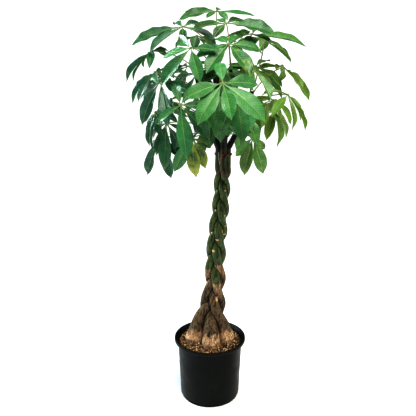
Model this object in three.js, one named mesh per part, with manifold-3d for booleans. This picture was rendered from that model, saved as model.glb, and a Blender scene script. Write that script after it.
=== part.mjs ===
// A potted money tree: five young trunks braided into one and held by a tie, palmate leaves on long
// petioles, in a black nursery pot filled with bark compost. Millimetres, +Z up, the origin at the centre
// of the pot's underside, and -Y is the front.
import * as THREE from "three";
import { mergeVertices } from "three/addons/utils/BufferGeometryUtils.js";
import Module from "manifold-3d";

// ---- driving dimensions ------------------------------------------------------------------------------
const POT = {
  height: 234, // to the top of the rim
  rimRadius: 130,
  lipHeight: 13,
  topRadius: 117, // of the body, just under the lip
  baseRadius: 108,
  footRadius: 104,
  footHeight: 7,
  edge: 3, // of the lip's bevels and of the step above the foot
  rimWidth: 7,
  wall: 3,
  floor: 4,
  drainHoles: 6,
  drainRadius: 7,
  drainCircle: 78,
  sides: 32,
};
const SOIL = {
  level: 219, // at the wall
  edge: 5, // bevel along the wall
  crown: 5, // how much higher it stands round the trunks
  crownRadius: 60,
  gap: 0.4, // to the pot
  holeGap: 1, // to each trunk
};

const GAP = 0.35; // between a trunk and the petioles that grow from it
const PRESSED = {
  gap: 2.1, // on each side of the flat where two trunks press together
  glancing: 0.05, // a neighbour that faces a side less than this doesn't press on it
};
const TRUNKS = 5;
const TRUNK_SIDES = 7;
const FLARE = { from: 236, to: 405, bend: 1.45 }; // the bases close up into the braid between these heights
const BRAID = {
  turn: -32, // degrees about Z
  firstStep: 100, // height of one crossing at zero
  tighten: 0.085, // and how much shorter it gets per mm of height
  zero: 430,
  straightAbove: 870,
  startPhase: 105,
  ease: 0.1, // evens out the trunks' way round
  linger: 0.1, // keeps them longer on the front than on the back
  across: { waves: [[1, 1], [3, -0.14], [5, -0.07]], peak: 1.07 }, // [multiple of the phase, share]
  depth: { waves: [[2, 1], [4, -0.14]], peak: 1.04 },
};
const SPREAD = { from: 935, bend: 0.35 }; // the trunks part above the tie and then straighten up
const TIE = {
  height: 916, // of its middle
  halfHeight: 6,
  depth: 3.6,
  gap: 1.3,
  slack: 1.06, // a level cut through a slanting trunk is this much wider
  sides: 20,
  section: [[0.35, -1], [1.15, -0.6], [1.35, 0], [1.15, 0.6], [0.35, 1], [0, 0]], // shares of the above
};

// Heights of the trunks' level cuts: close together through the braid, wide apart where they are straight
const CUTS = {
  base: [168, 200, 236, 262, 285, 303, 318, 329, 340, 350],
  braidStep: 11,
  straight: [905],
  topStep: 45,
};

// [height, value] profiles
const TRUNK_RADIUS = [
  [168, 22], [200, 30], [236, 33], [262, 29], [300, 23.5], [340, 19], [380, 16.5], [440, 15.3],
  [500, 15], [620, 14.8], [700, 13.5], [800, 12.4], [920, 11], [1020, 8], [1250, 5],
];
const BRAID_HALF_WIDTH = [
  [380, 24], [440, 19.5], [580, 17.3], [660, 16], [720, 14.5], [850, 13.5], [935, 13.5],
];
const LEAN = [
  [235, 0], [330, 6], [420, 17], [500, 20], [560, 21], [640, 27], [700, 34], [770, 40], [850, 43], [935, 45],
];

// where each trunk stands in the soil, and where its leafy top ends
const BULBS = [[40, 50], [57, -10], [4, -49], [-34, 50], [-57, -12]];
const TOPS = [[64, -74, 1205], [18, 60, 1255], [-52, -8, 1205], [12, -62, 1195], [138, -4, 1125]];

const LEAFLET = {
  width: 0.36, // of its length
  thick: 1.9, // at the rib
  stalk: 3, // width of its stalk
  stations: [0, 0.3, 0.55, 0.8], // where its cross sections lie; the tip comes after them
  steps: 20, // of the rib line
  droopBend: 1.3,
  twist: [0.4, 1.5], // shares of its roll at its foot and at its tip
  backShorter: 0.42, // share that a leaflet pointing straight back loses of its length
  backBend: 1.2,
};
// Half-width along a leaflet: the power that moves the widest place outwards, the one that points the ends,
// and the share that is left at the foot
const OUTLINE = { widest: 1.45, point: 1.5, foot: 0.06 };
const PETIOLE = {
  radius: 2.6,
  steps: 4,
  lowest: 985, // where the lowest one leaves its trunk
  belowTop: 4, // and the highest one
  spacing: 11,
  slope: 0.45, // how steeply it climbs to its hub
  lift: 20,
  arch: 0.6, // how much its middle is raised towards its higher end
  rise: 12,
};
const HUB_RADIUS = 7;

// Leaves out at the sides have leaflets that roll more and are narrower, by these shares at the full reach.
const OUTER = { reach: 210, roll: 2.2, width: -0.26 };

// Front and side leaves. Each row is
// [trunk, hub x, y, z, heading, tilt, cone, length, droop, leaflet angles, their lengths if not even].
// In degrees, the heading is the way the middle leaflet points in plan, the tilt how far the leaf's plane
// tips down that way, and the cone how far its leaflets hang below that plane.
const FRONT_LEAVES = [
  [3, 34, -280, 1174, -85, 50, 8, 138, 0.3, [-178, -72, -36, 18, 56, 104], [1.15, 1, 1.05, 0.85, 1.28, 1]],
  [3, -87, -240, 1107, -85, 58, 12, 150, 0.35, [-168, -62, 2, 50, 98, 150], [1, 0.65, 1.05, 0.95, 0.6, 0.9]],
  [3, 28, -205, 1125, -95, 60, 25, 135, 0.3, [-80, -38, 0, 42]],
  [0, 78, -196, 1135, -68, 55, 25, 140, 0.4, [-40, 0, 40, 84]],
  [0, 132, -140, 996, -90, 48, 40, 120, 0.25, [-54, -14, 24, 70], [0.8, 1, 1.05, 0.6]],
  [3, -56, -150, 996, -90, 46, 42, 122, 0.25, [-92, -44, 0, 42, 88], [0.8, 1.05, 1.05, 1, 0.8]],
  [4, 249, -50, 1118, -35, 42, 15, 128, 0.8, [-140, -75, -30, 12, 58]],
  [4, 145, 20, 1194, -5, 30, 8, 145, 0.7, [-115, -60, -18, 22, 66, 120]],
  [4, 215, -20, 1072, -45, 45, 32, 130, 0.55, [-100, -48, 0, 48, 100]],
  [1, 133, 0, 1304, -90, 24, 4, 170, 0.15, [-106, -20, 48, 86, 158], [0.65, 0.5, 0.5, 1.2, 0.6]],
  [0, 49, -50, 1337, -90, 26, 6, 150, 0.16, [-154, -92, -32, 92, 140], [0.7, 0.9, 0.5, 1.38, 0.9]],
  [0, 53, -140, 1276, -90, 34, 8, 135, 0.4, [-155, -78, -38, 36, 98, 150]],
  [1, 22, 80, 1376, -90, 22, 4, 125, 0.12, [-118, -84, -40, 40, 86, 165], [1.35, 1.2, 0.5, 0.5, 1.2, 0.6]],
  [1, -88, 0, 1327, -95, 26, 6, 160, 0.36, [-150, -74, -40, 10, 72, 142], [0.7, 1.2, 1, 0.5, 0.9, 0.7]],
  [1, -45, 90, 1298, 120, 8, 8, 105, 0.35, [-140, -75, -20, 30, 85]],
  [2, -188, 0, 1251, 185, 24, 8, 135, 0.75, [-120, -60, 0, 36, 82, 165], [1, 0.8, 1, 1, 0.9, 0.7]],
  [3, -58, -140, 1265, -115, 48, 8, 148, 0.4, [-130, -82, -32, 30, 88], [1, 0.8, 1.08, 0.85, 0.8]],
  [2, -176, -50, 1187, 200, 34, 8, 128, 0.7, [-120, -60, -15, 30, 85, 145]],
  [2, -154, -120, 1166, -125, 52, 16, 150, 0.6, [-150, -85, -28, 30, 95]],
  [2, -178, -50, 1063, 205, 46, 28, 128, 0.7, [-110, -62, -20, 20, 60, 110]],
  [2, -139, -84, 1033, -110, 50, 36, 148, 0.45, [-96, -50, -4, 44, 96]],
  [2, -171, -60, 975, -130, 50, 36, 142, 0.45, [-95, -32, 26, 86]],
];
// Tiers of the same leaves, round the back and inside the front ones:
// [count, first azimuth, azimuth step, radius, hub height, tilt, cone, length]
const TIERS = [
  [2, 22, 52, 135, 1285, 20, 8, 138],
  [5, 22, 34, 215, 1180, 34, 12, 138],
  [4, 38, 36, 225, 1065, 42, 28, 135],
  [2, 66, 52, 140, 1010, 42, 38, 125],
  [3, -140, 50, 120, 1195, 36, 12, 120],
  [3, -112, 48, 134, 1090, 42, 30, 120],
];
const TIER_FAN = [-132, -66, 0, 66, 132];
const TIER_DROOP = 0.4;
const TIER_TRUNKS = [[-95, 3], [-45, 0], [50, 4], [125, 1], [Infinity, 2]]; // [azimuths below this, trunk]

// How uneven growth is: degrees for angles, mm for heights, and shares for the rest
const TIER_UNEVEN = { azimuth: 5, radius: 0.06, height: 18, tilt: 5, length: 0.06 };
const LEAFLET_UNEVEN = { fan: 4, lift: 4, roll: 10, droop: 0.4, length: 0.06 };
const SEED = 20240611;

// What a petiole or a leaflet may try in order to pass between the others, best first
const BOWS = [0, 14, -14, 28, -28, 44, -44, 60, -60]; // mm sideways at its middle
const ARCHES = [0, 16, -16, 34]; // mm upwards
const LIFTS = [0, -8, 8, -16, 16, -26, 26, -36]; // degrees
const FANS = [0, 8, -8, 16, -16];
const LENGTHS = [1, 0.86, 0.72];
// The balls that stand for it meanwhile: how far apart, and how large
const PETIOLE_BALLS = { every: 8, radius: 4 };
const BLADE_BALLS = { every: 8.5, radius: 4.6, first: 2, across: [-0.9, -0.45, 0, 0.45, 0.9] };
const TRUNK_BALLS = { from: 850, every: 7, margin: 2, above: 4 };
const NEAR = 40; // farther balls aren't compared

// ---- small maths -------------------------------------------------------------------------------------
const rad = (degrees) => (degrees * Math.PI) / 180;
const mix = (a, b, t) => a + (b - a) * t;
const profile = (rows, z) => {
  if (z <= rows[0][0]) return rows[0][1];
  for (let i = 1; i < rows.length; i++) {
    const [[z0, v0], [z1, v1]] = [rows[i - 1], rows[i]];
    if (z <= z1) return mix(v0, v1, (z - z0) / (z1 - z0));
  }
  return rows[rows.length - 1][1];
};
const vec = (x, y, z) => new THREE.Vector3(x, y, z);
const DOWN = vec(0, 0, -1);

// One repeatable stream of draws between -1 and 1.
const draws = (seed) => {
  let state = seed;
  return () => {
    state = (state * 1664525 + 1013904223) % 2 ** 32;
    return state / 2 ** 31 - 1;
  };
};

// ---- solids ------------------------------------------------------------------------------------------
const wasm = await Module();
wasm.setup();

const solid = (geometry) => {
  const bare = new THREE.BufferGeometry();
  bare.setAttribute("position", geometry.getAttribute("position"));
  if (geometry.index) bare.setIndex(geometry.index);
  const merged = mergeVertices(bare, 1e-3);
  return new wasm.Manifold(
    new wasm.Mesh({
      numProp: 3,
      vertProperties: merged.attributes.position.array,
      triVerts: new Uint32Array(merged.index.array),
    }),
  );
};

const largest = (made) =>
  made.decompose().reduce((best, body) => (body.volume() > best.volume() ? body : best));

const geometryOf = (made) => {
  const mesh = made.getMesh();
  const positions = new Float32Array(mesh.numVert * 3);
  for (let i = 0; i < mesh.numVert; i++) {
    positions.set(mesh.vertProperties.subarray(i * mesh.numProp, i * mesh.numProp + 3), i * 3);
  }
  const geometry = new THREE.BufferGeometry();
  geometry.setAttribute("position", new THREE.BufferAttribute(positions, 3));
  geometry.setIndex(new THREE.BufferAttribute(new Uint32Array(mesh.triVerts), 1));
  geometry.computeVertexNormals();
  return geometry;
};

const fromTriangles = (points, triangles) => {
  const geometry = new THREE.BufferGeometry();
  geometry.setAttribute("position", new THREE.Float32BufferAttribute(points.flatMap((p) => p.toArray()), 3));
  geometry.setIndex(triangles.flat());
  return geometry;
};

// A closed skin over rings of equal count, listed bottom to top and each counterclockwise from above.
const loft = (rings) => {
  const count = rings[0].length;
  const triangles = [];
  for (let i = 0; i + 1 < rings.length; i++) {
    for (let j = 0; j < count; j++) {
      const [a, b] = [i * count + j, i * count + ((j + 1) % count)];
      triangles.push([a, b, b + count], [a, b + count, a + count]);
    }
  }
  const last = (rings.length - 1) * count;
  for (let j = 1; j + 1 < count; j++) {
    triangles.push([0, j + 1, j], [last, last + j, last + j + 1]);
  }
  return fromTriangles(rings.flat(), triangles);
};

// ---- trunks ------------------------------------------------------------------------------------------
const crossings = (z) => {
  const step = BRAID.firstStep - BRAID.tighten * (Math.min(z, BRAID.straightAbove) - BRAID.zero);
  return -Math.log(step / BRAID.firstStep) / BRAID.tighten;
};

const swing = ({ waves, peak }, phase) =>
  waves.reduce((sum, [multiple, share]) => sum + share * Math.sin(multiple * phase), 0) / peak;

// The braid is a figure of eight in plan, and the trunks follow each other round it. The overtones
// keep them as far apart as it allows.
const braidPoint = (trunk, z) => {
  const even = rad((360 / TRUNKS) * (crossings(z) + trunk) + BRAID.startPhase);
  const phase = even + BRAID.ease * Math.sin(2 * even) - BRAID.linger * Math.cos(2 * even);
  const halfWidth = profile(BRAID_HALF_WIDTH, z);
  const x = halfWidth * swing(BRAID.across, phase);
  const y = halfWidth * swing(BRAID.depth, phase);
  const turn = rad(BRAID.turn);
  return [
    profile(LEAN, z) + x * Math.cos(turn) - y * Math.sin(turn),
    x * Math.sin(turn) + y * Math.cos(turn),
  ];
};

const trunkCentre = (trunk, z) => {
  const [bx, by] = braidPoint(trunk, Math.min(z, SPREAD.from));
  const rise = Math.min(1, Math.max(0, (z - FLARE.from) / (FLARE.to - FLARE.from)));
  const flare = 1 - Math.pow(1 - rise, FLARE.bend);
  const top = TOPS[trunk];
  const away = Math.max(0, (z - SPREAD.from) / (top[2] - SPREAD.from));
  const part = away * (1 + SPREAD.bend * (1 - away));
  return vec(
    mix(mix(BULBS[trunk][0], bx, flare), top[0], part),
    mix(mix(BULBS[trunk][1], by, flare), top[1], part),
    z,
  );
};

const trunkRadius = (z) => profile(TRUNK_RADIUS, z);

// Half of the gap between two trunks, seen from the first one's centre: they press flat on each other.
const pressedReach = (trunk, z, dx, dy) => {
  const centre = trunkCentre(trunk, z);
  let reach = Infinity;
  for (let other = 0; other < TRUNKS; other++) {
    if (other === trunk || z > TOPS[other][2]) continue;
    const apart = trunkCentre(other, z).sub(centre);
    const distance = Math.hypot(apart.x, apart.y);
    const facing = (dx * apart.x + dy * apart.y) / distance;
    if (facing > PRESSED.glancing) reach = Math.min(reach, (distance / 2 - PRESSED.gap) / facing);
  }
  return reach;
};

const trunkRing = (trunk, z, grow) => {
  const centre = trunkCentre(trunk, z);
  const slope = trunkCentre(trunk, z + 1).sub(trunkCentre(trunk, z - 1)).multiplyScalar(0.5);
  const slant = Math.hypot(slope.x, slope.y);
  const stretch = Math.hypot(1, slant) - 1; // a level cut through a slanting trunk is longer that way
  const ring = [];
  for (let i = 0; i < TRUNK_SIDES; i++) {
    const angle = ((i + 0.5) / TRUNK_SIDES) * 2 * Math.PI;
    const [dx, dy] = [Math.cos(angle), Math.sin(angle)];
    const along = slant > 0 ? (dx * slope.x + dy * slope.y) / slant : 0;
    const round = trunkRadius(z) * (1 + stretch * along * along);
    const reach = Math.min(round, pressedReach(trunk, z, dx, dy)) + grow;
    ring.push(vec(centre.x + dx * reach, centre.y + dy * reach, z));
  }
  return ring;
};

const trunkLevels = (trunk) => {
  const levels = [...CUTS.base];
  const braidFrom = levels[levels.length - 1] + CUTS.braidStep;
  for (let z = braidFrom; z < BRAID.straightAbove + CUTS.braidStep; z += CUTS.braidStep) levels.push(z);
  levels.push(...CUTS.straight);
  const top = TOPS[trunk][2];
  const rest = Math.ceil((top - SPREAD.from) / CUTS.topStep);
  for (let i = 0; i <= rest; i++) levels.push(mix(SPREAD.from, top, i / rest));
  return levels;
};

const trunkGeometry = (trunk, grow = 0, from = 0, to = Infinity) =>
  loft(
    trunkLevels(trunk)
      .filter((z) => z >= from && z <= to)
      .map((z) => trunkRing(trunk, z, grow)),
  );

// ---- leaves ------------------------------------------------------------------------------------------
const tierTrunk = (azimuth) => TIER_TRUNKS.find(([below]) => azimuth < below)[1];

const leafRows = () => {
  const random = draws(SEED);
  const rows = FRONT_LEAVES.map(([trunk, x, y, z, heading, tilt, cone, length, droop, fan, shares]) => ({
    trunk, hub: vec(x, y, z), heading, tilt, cone, length, droop, fan, shares,
  }));
  for (const [count, first, step, radius, height, tilt, cone, length] of TIERS) {
    for (let i = 0; i < count; i++) {
      const azimuth = first + step * i + TIER_UNEVEN.azimuth * random();
      const out = radius * (1 + TIER_UNEVEN.radius * random());
      const hub = vec(
        profile(LEAN, SPREAD.from) + out * Math.cos(rad(azimuth)),
        out * Math.sin(rad(azimuth)),
        height + TIER_UNEVEN.height * random(),
      );
      rows.push({
        trunk: tierTrunk(azimuth),
        hub,
        heading: azimuth,
        tilt: tilt + TIER_UNEVEN.tilt * random(),
        cone,
        length: length * (1 + TIER_UNEVEN.length * random()),
        droop: TIER_DROOP,
        fan: TIER_FAN,
      });
    }
  }
  return rows;
};

// Each petiole leaves its trunk below the hub, with room between one leaf scar and the next.
const setStarts = (leaves) => {
  const tops = TOPS.map((top) => top[2] - PETIOLE.belowTop);
  for (const leaf of [...leaves].sort((a, b) => b.hub.z - a.hub.z)) {
    const top = TOPS[leaf.trunk];
    const reach = Math.hypot(leaf.hub.x - top[0], leaf.hub.y - top[1]);
    const wanted = Math.max(PETIOLE.lowest, leaf.hub.z - PETIOLE.slope * reach + PETIOLE.lift);
    leaf.start = Math.min(tops[leaf.trunk], wanted);
    tops[leaf.trunk] = leaf.start - PETIOLE.spacing;
  }
};

const petioleCurve = (leaf, bow, arch) => {
  const start = trunkCentre(leaf.trunk, leaf.start);
  const out = vec(leaf.hub.x - start.x, leaf.hub.y - start.y, 0).normalize();
  const side = vec(-out.y, out.x, 0);
  const middle = start.clone().lerp(leaf.hub, 0.5);
  middle.addScaledVector(side, bow);
  middle.z = mix(middle.z, Math.max(start.z, leaf.hub.z), PETIOLE.arch) + PETIOLE.rise + arch;
  return new THREE.QuadraticBezierCurve3(start, middle, leaf.hub.clone());
};

const leafAxes = (leaf) => {
  const [h, t] = [rad(leaf.heading), rad(leaf.tilt)];
  const normal = vec(Math.sin(t) * Math.cos(h), Math.sin(t) * Math.sin(h), Math.cos(t));
  const forward = vec(Math.cos(t) * Math.cos(h), Math.cos(t) * Math.sin(h), -Math.sin(t));
  return { normal, forward, side: normal.clone().cross(forward) };
};

// Half-width of a leaflet along its length: wedge-shaped below, widest past the middle, and pointed.
const bladeOutline = (t) =>
  Math.pow(Math.sin(Math.PI * Math.pow(t, OUTLINE.widest)), OUTLINE.point) + OUTLINE.foot * (1 - t);

// How far out to the left or right a leaf is, from 0 to 1
const outerShare = (leaf) => Math.min(1, Math.abs(leaf.hub.x - profile(LEAN, SPREAD.from)) / OUTER.reach);

// The rib's points and cross directions, bending under the leaflet's own weight.
const bladeLine = (leaf, blade) => {
  const { normal, forward, side } = leafAxes(leaf);
  const fan = rad(blade.fan);
  const cone = rad(leaf.cone - blade.lift);
  const start = forward.clone().multiplyScalar(Math.cos(fan)).addScaledVector(side, Math.sin(fan));
  start.multiplyScalar(Math.cos(cone)).addScaledVector(normal, -Math.sin(cone));
  const width = LEAFLET.width * (1 + OUTER.width * outerShare(leaf));
  const point = leaf.hub.clone();
  const line = [];
  for (let i = 0; i <= LEAFLET.steps; i++) {
    const t = i / LEAFLET.steps;
    const droop = leaf.droop * blade.droop * Math.pow(t, LEAFLET.droopBend);
    const along = start.clone().addScaledVector(DOWN, droop).normalize();
    const twist = rad(blade.roll * mix(LEAFLET.twist[0], LEAFLET.twist[1], t));
    const across = along.clone().cross(normal).normalize().applyAxisAngle(along, twist);
    const up = across.clone().cross(along);
    const half = (blade.length * width * bladeOutline(t)) / 2;
    line.push({ point: point.clone(), across, up, half });
    point.addScaledVector(along, blade.length / LEAFLET.steps);
  }
  return line;
};

// A blade's cross section is a flat triangle, thickest along the rib, and it ends in a point.
const bladeGeometry = (line) => {
  const points = [];
  const stations = LEAFLET.stations.map((t) => line[Math.round(t * LEAFLET.steps)]);
  for (const station of stations) {
    const reach = station.across.clone().multiplyScalar(Math.max(station.half, LEAFLET.stalk / 2));
    points.push(
      station.point.clone().sub(reach),
      station.point.clone().add(reach),
      station.point.clone().addScaledVector(station.up, -LEAFLET.thick),
    );
  }
  const triangles = [[0, 2, 1]];
  for (let i = 0; i + 1 < stations.length; i++) {
    const [left, right, rib] = [3 * i, 3 * i + 1, 3 * i + 2];
    // Both faces are split the same way round, so those of a rolled blade don't cross.
    triangles.push([left, right, left + 3], [right, right + 3, left + 3]);
    triangles.push([right, rib, rib + 3], [right, rib + 3, right + 3]);
    triangles.push([rib, left, left + 3], [rib, left + 3, rib + 3]);
  }
  const end = 3 * (stations.length - 1);
  const tip = points.push(line[LEAFLET.steps].point.clone()) - 1;
  triangles.push([end, end + 1, tip], [end + 1, end + 2, tip], [end + 2, end, tip]);
  return fromTriangles(points, triangles);
};

// ---- bending clear -----------------------------------------------------------------------------------
// What is already in place, as balls: a new petiole or leaflet has to pass between those of others.
const placed = [];
const ball = (point, radius) => ({ x: point.x, y: point.y, z: point.z, radius });
const place = (balls, owner) => placed.push(...balls.map((b) => ({ ...b, owner })));

const room = (balls, owner) => {
  const centre = balls[Math.floor(balls.length / 2)];
  const span = Math.max(...balls.map((b) => Math.hypot(b.x - centre.x, b.y - centre.y, b.z - centre.z)));
  let least = Infinity;
  for (const other of placed) {
    if (other.owner === owner) continue;
    const far = Math.hypot(other.x - centre.x, other.y - centre.y, other.z - centre.z);
    if (far > span + NEAR) continue;
    for (const b of balls) {
      const gap = Math.hypot(b.x - other.x, b.y - other.y, b.z - other.z) - b.radius - other.radius;
      if (gap < least) least = gap;
    }
  }
  return least;
};

const petioleBalls = (curve) => {
  const count = Math.ceil(curve.getLength() / PETIOLE_BALLS.every);
  const balls = [];
  for (let i = 1; i <= count; i++) balls.push(ball(curve.getPoint(i / count), PETIOLE_BALLS.radius));
  return balls;
};

const bladeBalls = (line, length) => {
  const count = Math.ceil(length / BLADE_BALLS.every);
  const balls = [];
  for (let i = BLADE_BALLS.first; i <= count; i++) {
    const { point, across, half } = line[Math.round((i / count) * LEAFLET.steps)];
    for (const share of BLADE_BALLS.across) {
      balls.push(ball(point.clone().addScaledVector(across, half * share), BLADE_BALLS.radius));
    }
  }
  return balls;
};

// The first choice that is clear, or the roomiest one.
const clearest = (choices, ballsOf, owner) => {
  let best = null;
  for (const choice of choices) {
    const balls = ballsOf(choice);
    const gap = room(balls, owner);
    if (!best || gap > best.gap) best = { choice, balls, gap };
    if (gap >= 0) break;
  }
  return best;
};

const growLeaves = () => {
  for (let trunk = 0; trunk < TRUNKS; trunk++) {
    const balls = [];
    for (let z = TRUNK_BALLS.from; z <= TOPS[trunk][2] + TRUNK_BALLS.above; z += TRUNK_BALLS.every) {
      balls.push(ball(trunkCentre(trunk, z), trunkRadius(z) + TRUNK_BALLS.margin));
    }
    place(balls, "trunk" + trunk);
  }
  const leaves = leafRows();
  setStarts(leaves);
  leaves.forEach((leaf, index) => {
    const choices = ARCHES.flatMap((arch) => BOWS.map((bow) => petioleCurve(leaf, bow, arch)));
    const owner = "trunk" + leaf.trunk;
    const best = clearest(choices, petioleBalls, owner);
    leaf.petiole = best.choice;
    place(best.balls, "leaf" + index);
  });
  const random = draws(SEED + 1);
  leaves.forEach((leaf, index) => {
    leaf.blades = [];
    const outer = outerShare(leaf);
    for (const [i, fan] of leaf.fan.entries()) {
      const back = LEAFLET.backShorter * Math.pow(Math.abs(fan) / 180, LEAFLET.backBend);
      const share = (leaf.shares ? leaf.shares[i] : 1) * (1 - back);
      const wish = {
        fan: fan + LEAFLET_UNEVEN.fan * random(),
        lift: LEAFLET_UNEVEN.lift * random(),
        roll: LEAFLET_UNEVEN.roll * (1 + OUTER.roll * outer) * random(),
        droop: 1 + LEAFLET_UNEVEN.droop * random(),
        length: leaf.length * share * (1 + LEAFLET_UNEVEN.length * random()),
      };
      const choices = LENGTHS.flatMap((scale) =>
        FANS.flatMap((turn) =>
          LIFTS.map((lift) => ({
            ...wish, fan: wish.fan + turn, lift: wish.lift + lift, length: wish.length * scale,
          })),
        ),
      );
      const ballsOf = (blade) => bladeBalls(bladeLine(leaf, blade), blade.length);
      const best = clearest(choices, ballsOf, "leaf" + index);
      if (best.gap < 0) continue; // no room for this leaflet
      leaf.blades.push(best.choice);
      place(best.balls, "leaf" + index);
    }
  });
  return leaves;
};

const petioleSection = (radius) => {
  const corners = [[1, 0], [0, 1], [-1, 0], [0, -1]];
  return new THREE.Shape(corners.map(([x, y]) => new THREE.Vector2(radius * x, radius * y)));
};

const leafGeometry = (leaf, trunkSolid) => {
  const petiole = new THREE.ExtrudeGeometry(petioleSection(PETIOLE.radius), {
    steps: PETIOLE.steps,
    extrudePath: leaf.petiole,
    bevelEnabled: false,
  });
  const hub = new THREE.OctahedronGeometry(HUB_RADIUS, 0);
  hub.translate(leaf.hub.x, leaf.hub.y, leaf.hub.z);
  let made = solid(petiole).add(solid(hub));
  for (const blade of leaf.blades) made = made.add(solid(bladeGeometry(bladeLine(leaf, blade))));
  return geometryOf(largest(made.subtract(trunkSolid)));
};

// ---- pot, soil and tie -------------------------------------------------------------------------------
const lathe = (profilePoints) => {
  const geometry = new THREE.LatheGeometry(
    profilePoints.map(([r, z]) => new THREE.Vector2(r, z)),
    POT.sides,
  );
  return geometry.rotateX(Math.PI / 2);
};

const wallRadius = (z) => mix(POT.baseRadius, POT.topRadius, z / (POT.height - POT.lipHeight));

const potGeometry = () => {
  const { height, rimRadius, rimWidth, lipHeight, footRadius, footHeight, edge, wall, floor } = POT;
  const lipBottom = height - lipHeight;
  let pot = solid(
    lathe([
      [0, 0], [footRadius, 0], [footRadius, footHeight], [wallRadius(footHeight), footHeight + edge],
      [wallRadius(lipBottom), lipBottom], [rimRadius - edge, lipBottom], [rimRadius, lipBottom + edge],
      [rimRadius, height - edge], [rimRadius - edge, height], [rimRadius - rimWidth, height],
      [wallRadius(lipBottom) - wall, lipBottom], [footRadius - wall, footHeight + floor],
      [footRadius - wall - floor, floor], [0, floor],
    ]),
  );
  for (let i = 0; i < POT.drainHoles; i++) {
    const angle = (i / POT.drainHoles) * 2 * Math.PI;
    const hole = new THREE.CylinderGeometry(POT.drainRadius, POT.drainRadius, 4 * floor, 8);
    hole.rotateX(Math.PI / 2);
    hole.translate(POT.drainCircle * Math.cos(angle), POT.drainCircle * Math.sin(angle), floor / 2);
    pot = pot.subtract(solid(hole));
  }
  return geometryOf(pot);
};

const soilGeometry = () => {
  const { level, edge, crown, crownRadius, gap, holeGap } = SOIL;
  const bottom = POT.floor + gap;
  const bend = POT.floor + POT.footHeight;
  const lipBottom = POT.height - POT.lipHeight;
  const foot = POT.footRadius - POT.wall;
  const inside = (z) => mix(foot, wallRadius(lipBottom) - POT.wall, (z - bend) / (lipBottom - bend)) - gap;
  let soil = solid(
    lathe([
      [0, bottom], [foot - POT.floor - 2 * gap, bottom], [foot - 2 * gap, bend],
      [inside(level - edge), level - edge], [inside(level) - edge, level],
      [crownRadius, level + crown], [0, level + crown],
    ]),
  );
  for (let trunk = 0; trunk < TRUNKS; trunk++) {
    soil = soil.subtract(solid(trunkGeometry(trunk, holeGap, 0, FLARE.to)));
  }
  return geometryOf(largest(soil));
};

// The trunks' outline round the tie, as a reach from their common centre.
const outlineReach = (angle, centre) => {
  let reach = 0;
  for (const z of [TIE.height - TIE.halfHeight, TIE.height, TIE.height + TIE.halfHeight]) {
    for (let trunk = 0; trunk < TRUNKS; trunk++) {
      const at = trunkCentre(trunk, z);
      const facing = (at.x - centre) * Math.cos(angle) + at.y * Math.sin(angle);
      reach = Math.max(reach, facing + trunkRadius(z) * TIE.slack);
    }
  }
  return reach;
};

// The turns of cord round the trunks, as one band.
const tieGeometry = () => {
  const centre = profile(LEAN, TIE.height);
  const points = [];
  const triangles = [];
  const count = TIE.section.length;
  for (let i = 0; i < TIE.sides; i++) {
    const angle = (i / TIE.sides) * 2 * Math.PI;
    const inner = outlineReach(angle, centre) / Math.cos(Math.PI / TIE.sides) + TIE.gap;
    const next = ((i + 1) % TIE.sides) * count;
    for (const [j, [out, up]] of TIE.section.entries()) {
      const reach = inner + out * TIE.depth;
      const z = TIE.height + up * TIE.halfHeight;
      points.push(vec(centre + reach * Math.cos(angle), reach * Math.sin(angle), z));
      const [a, b] = [i * count + j, i * count + ((j + 1) % count)];
      const [c, d] = [next + j, next + ((j + 1) % count)];
      triangles.push([a, c, b], [b, c, d]);
    }
  }
  return fromTriangles(points, triangles);
};

// ---- the scene graph ---------------------------------------------------------------------------------
const MATERIALS = {
  pot: new THREE.MeshStandardMaterial({ color: 0x14181a, roughness: 0.45, metalness: 0 }),
  soil: new THREE.MeshStandardMaterial({ color: 0x5a3b24, roughness: 0.95, metalness: 0 }),
  bark: new THREE.MeshStandardMaterial({ color: 0x4a4a2e, roughness: 0.8, metalness: 0 }),
  cord: new THREE.MeshStandardMaterial({ color: 0x7a4630, roughness: 0.9, metalness: 0 }),
  leaf: new THREE.MeshStandardMaterial({ color: 0x2f7a35, roughness: 0.45, metalness: 0 }),
};

const tree = new THREE.Group();
const addPiece = (name, geometry, material) => {
  const mesh = new THREE.Mesh(geometry, MATERIALS[material]);
  mesh.name = name;
  tree.add(mesh);
};

addPiece("pot", potGeometry(), "pot");
addPiece("soil", soilGeometry(), "soil");
for (let trunk = 0; trunk < TRUNKS; trunk++) {
  addPiece("trunk_" + (trunk + 1), trunkGeometry(trunk), "bark");
}
addPiece("tie", tieGeometry(), "cord");
const trunkCutters = TOPS.map((top, trunk) => solid(trunkGeometry(trunk, GAP, SPREAD.from)));
growLeaves().forEach((leaf, index) => {
  const name = "leaf_" + String(index + 1).padStart(2, "0");
  addPiece(name, leafGeometry(leaf, trunkCutters[leaf.trunk]), "leaf");
});

export default tree;
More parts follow.
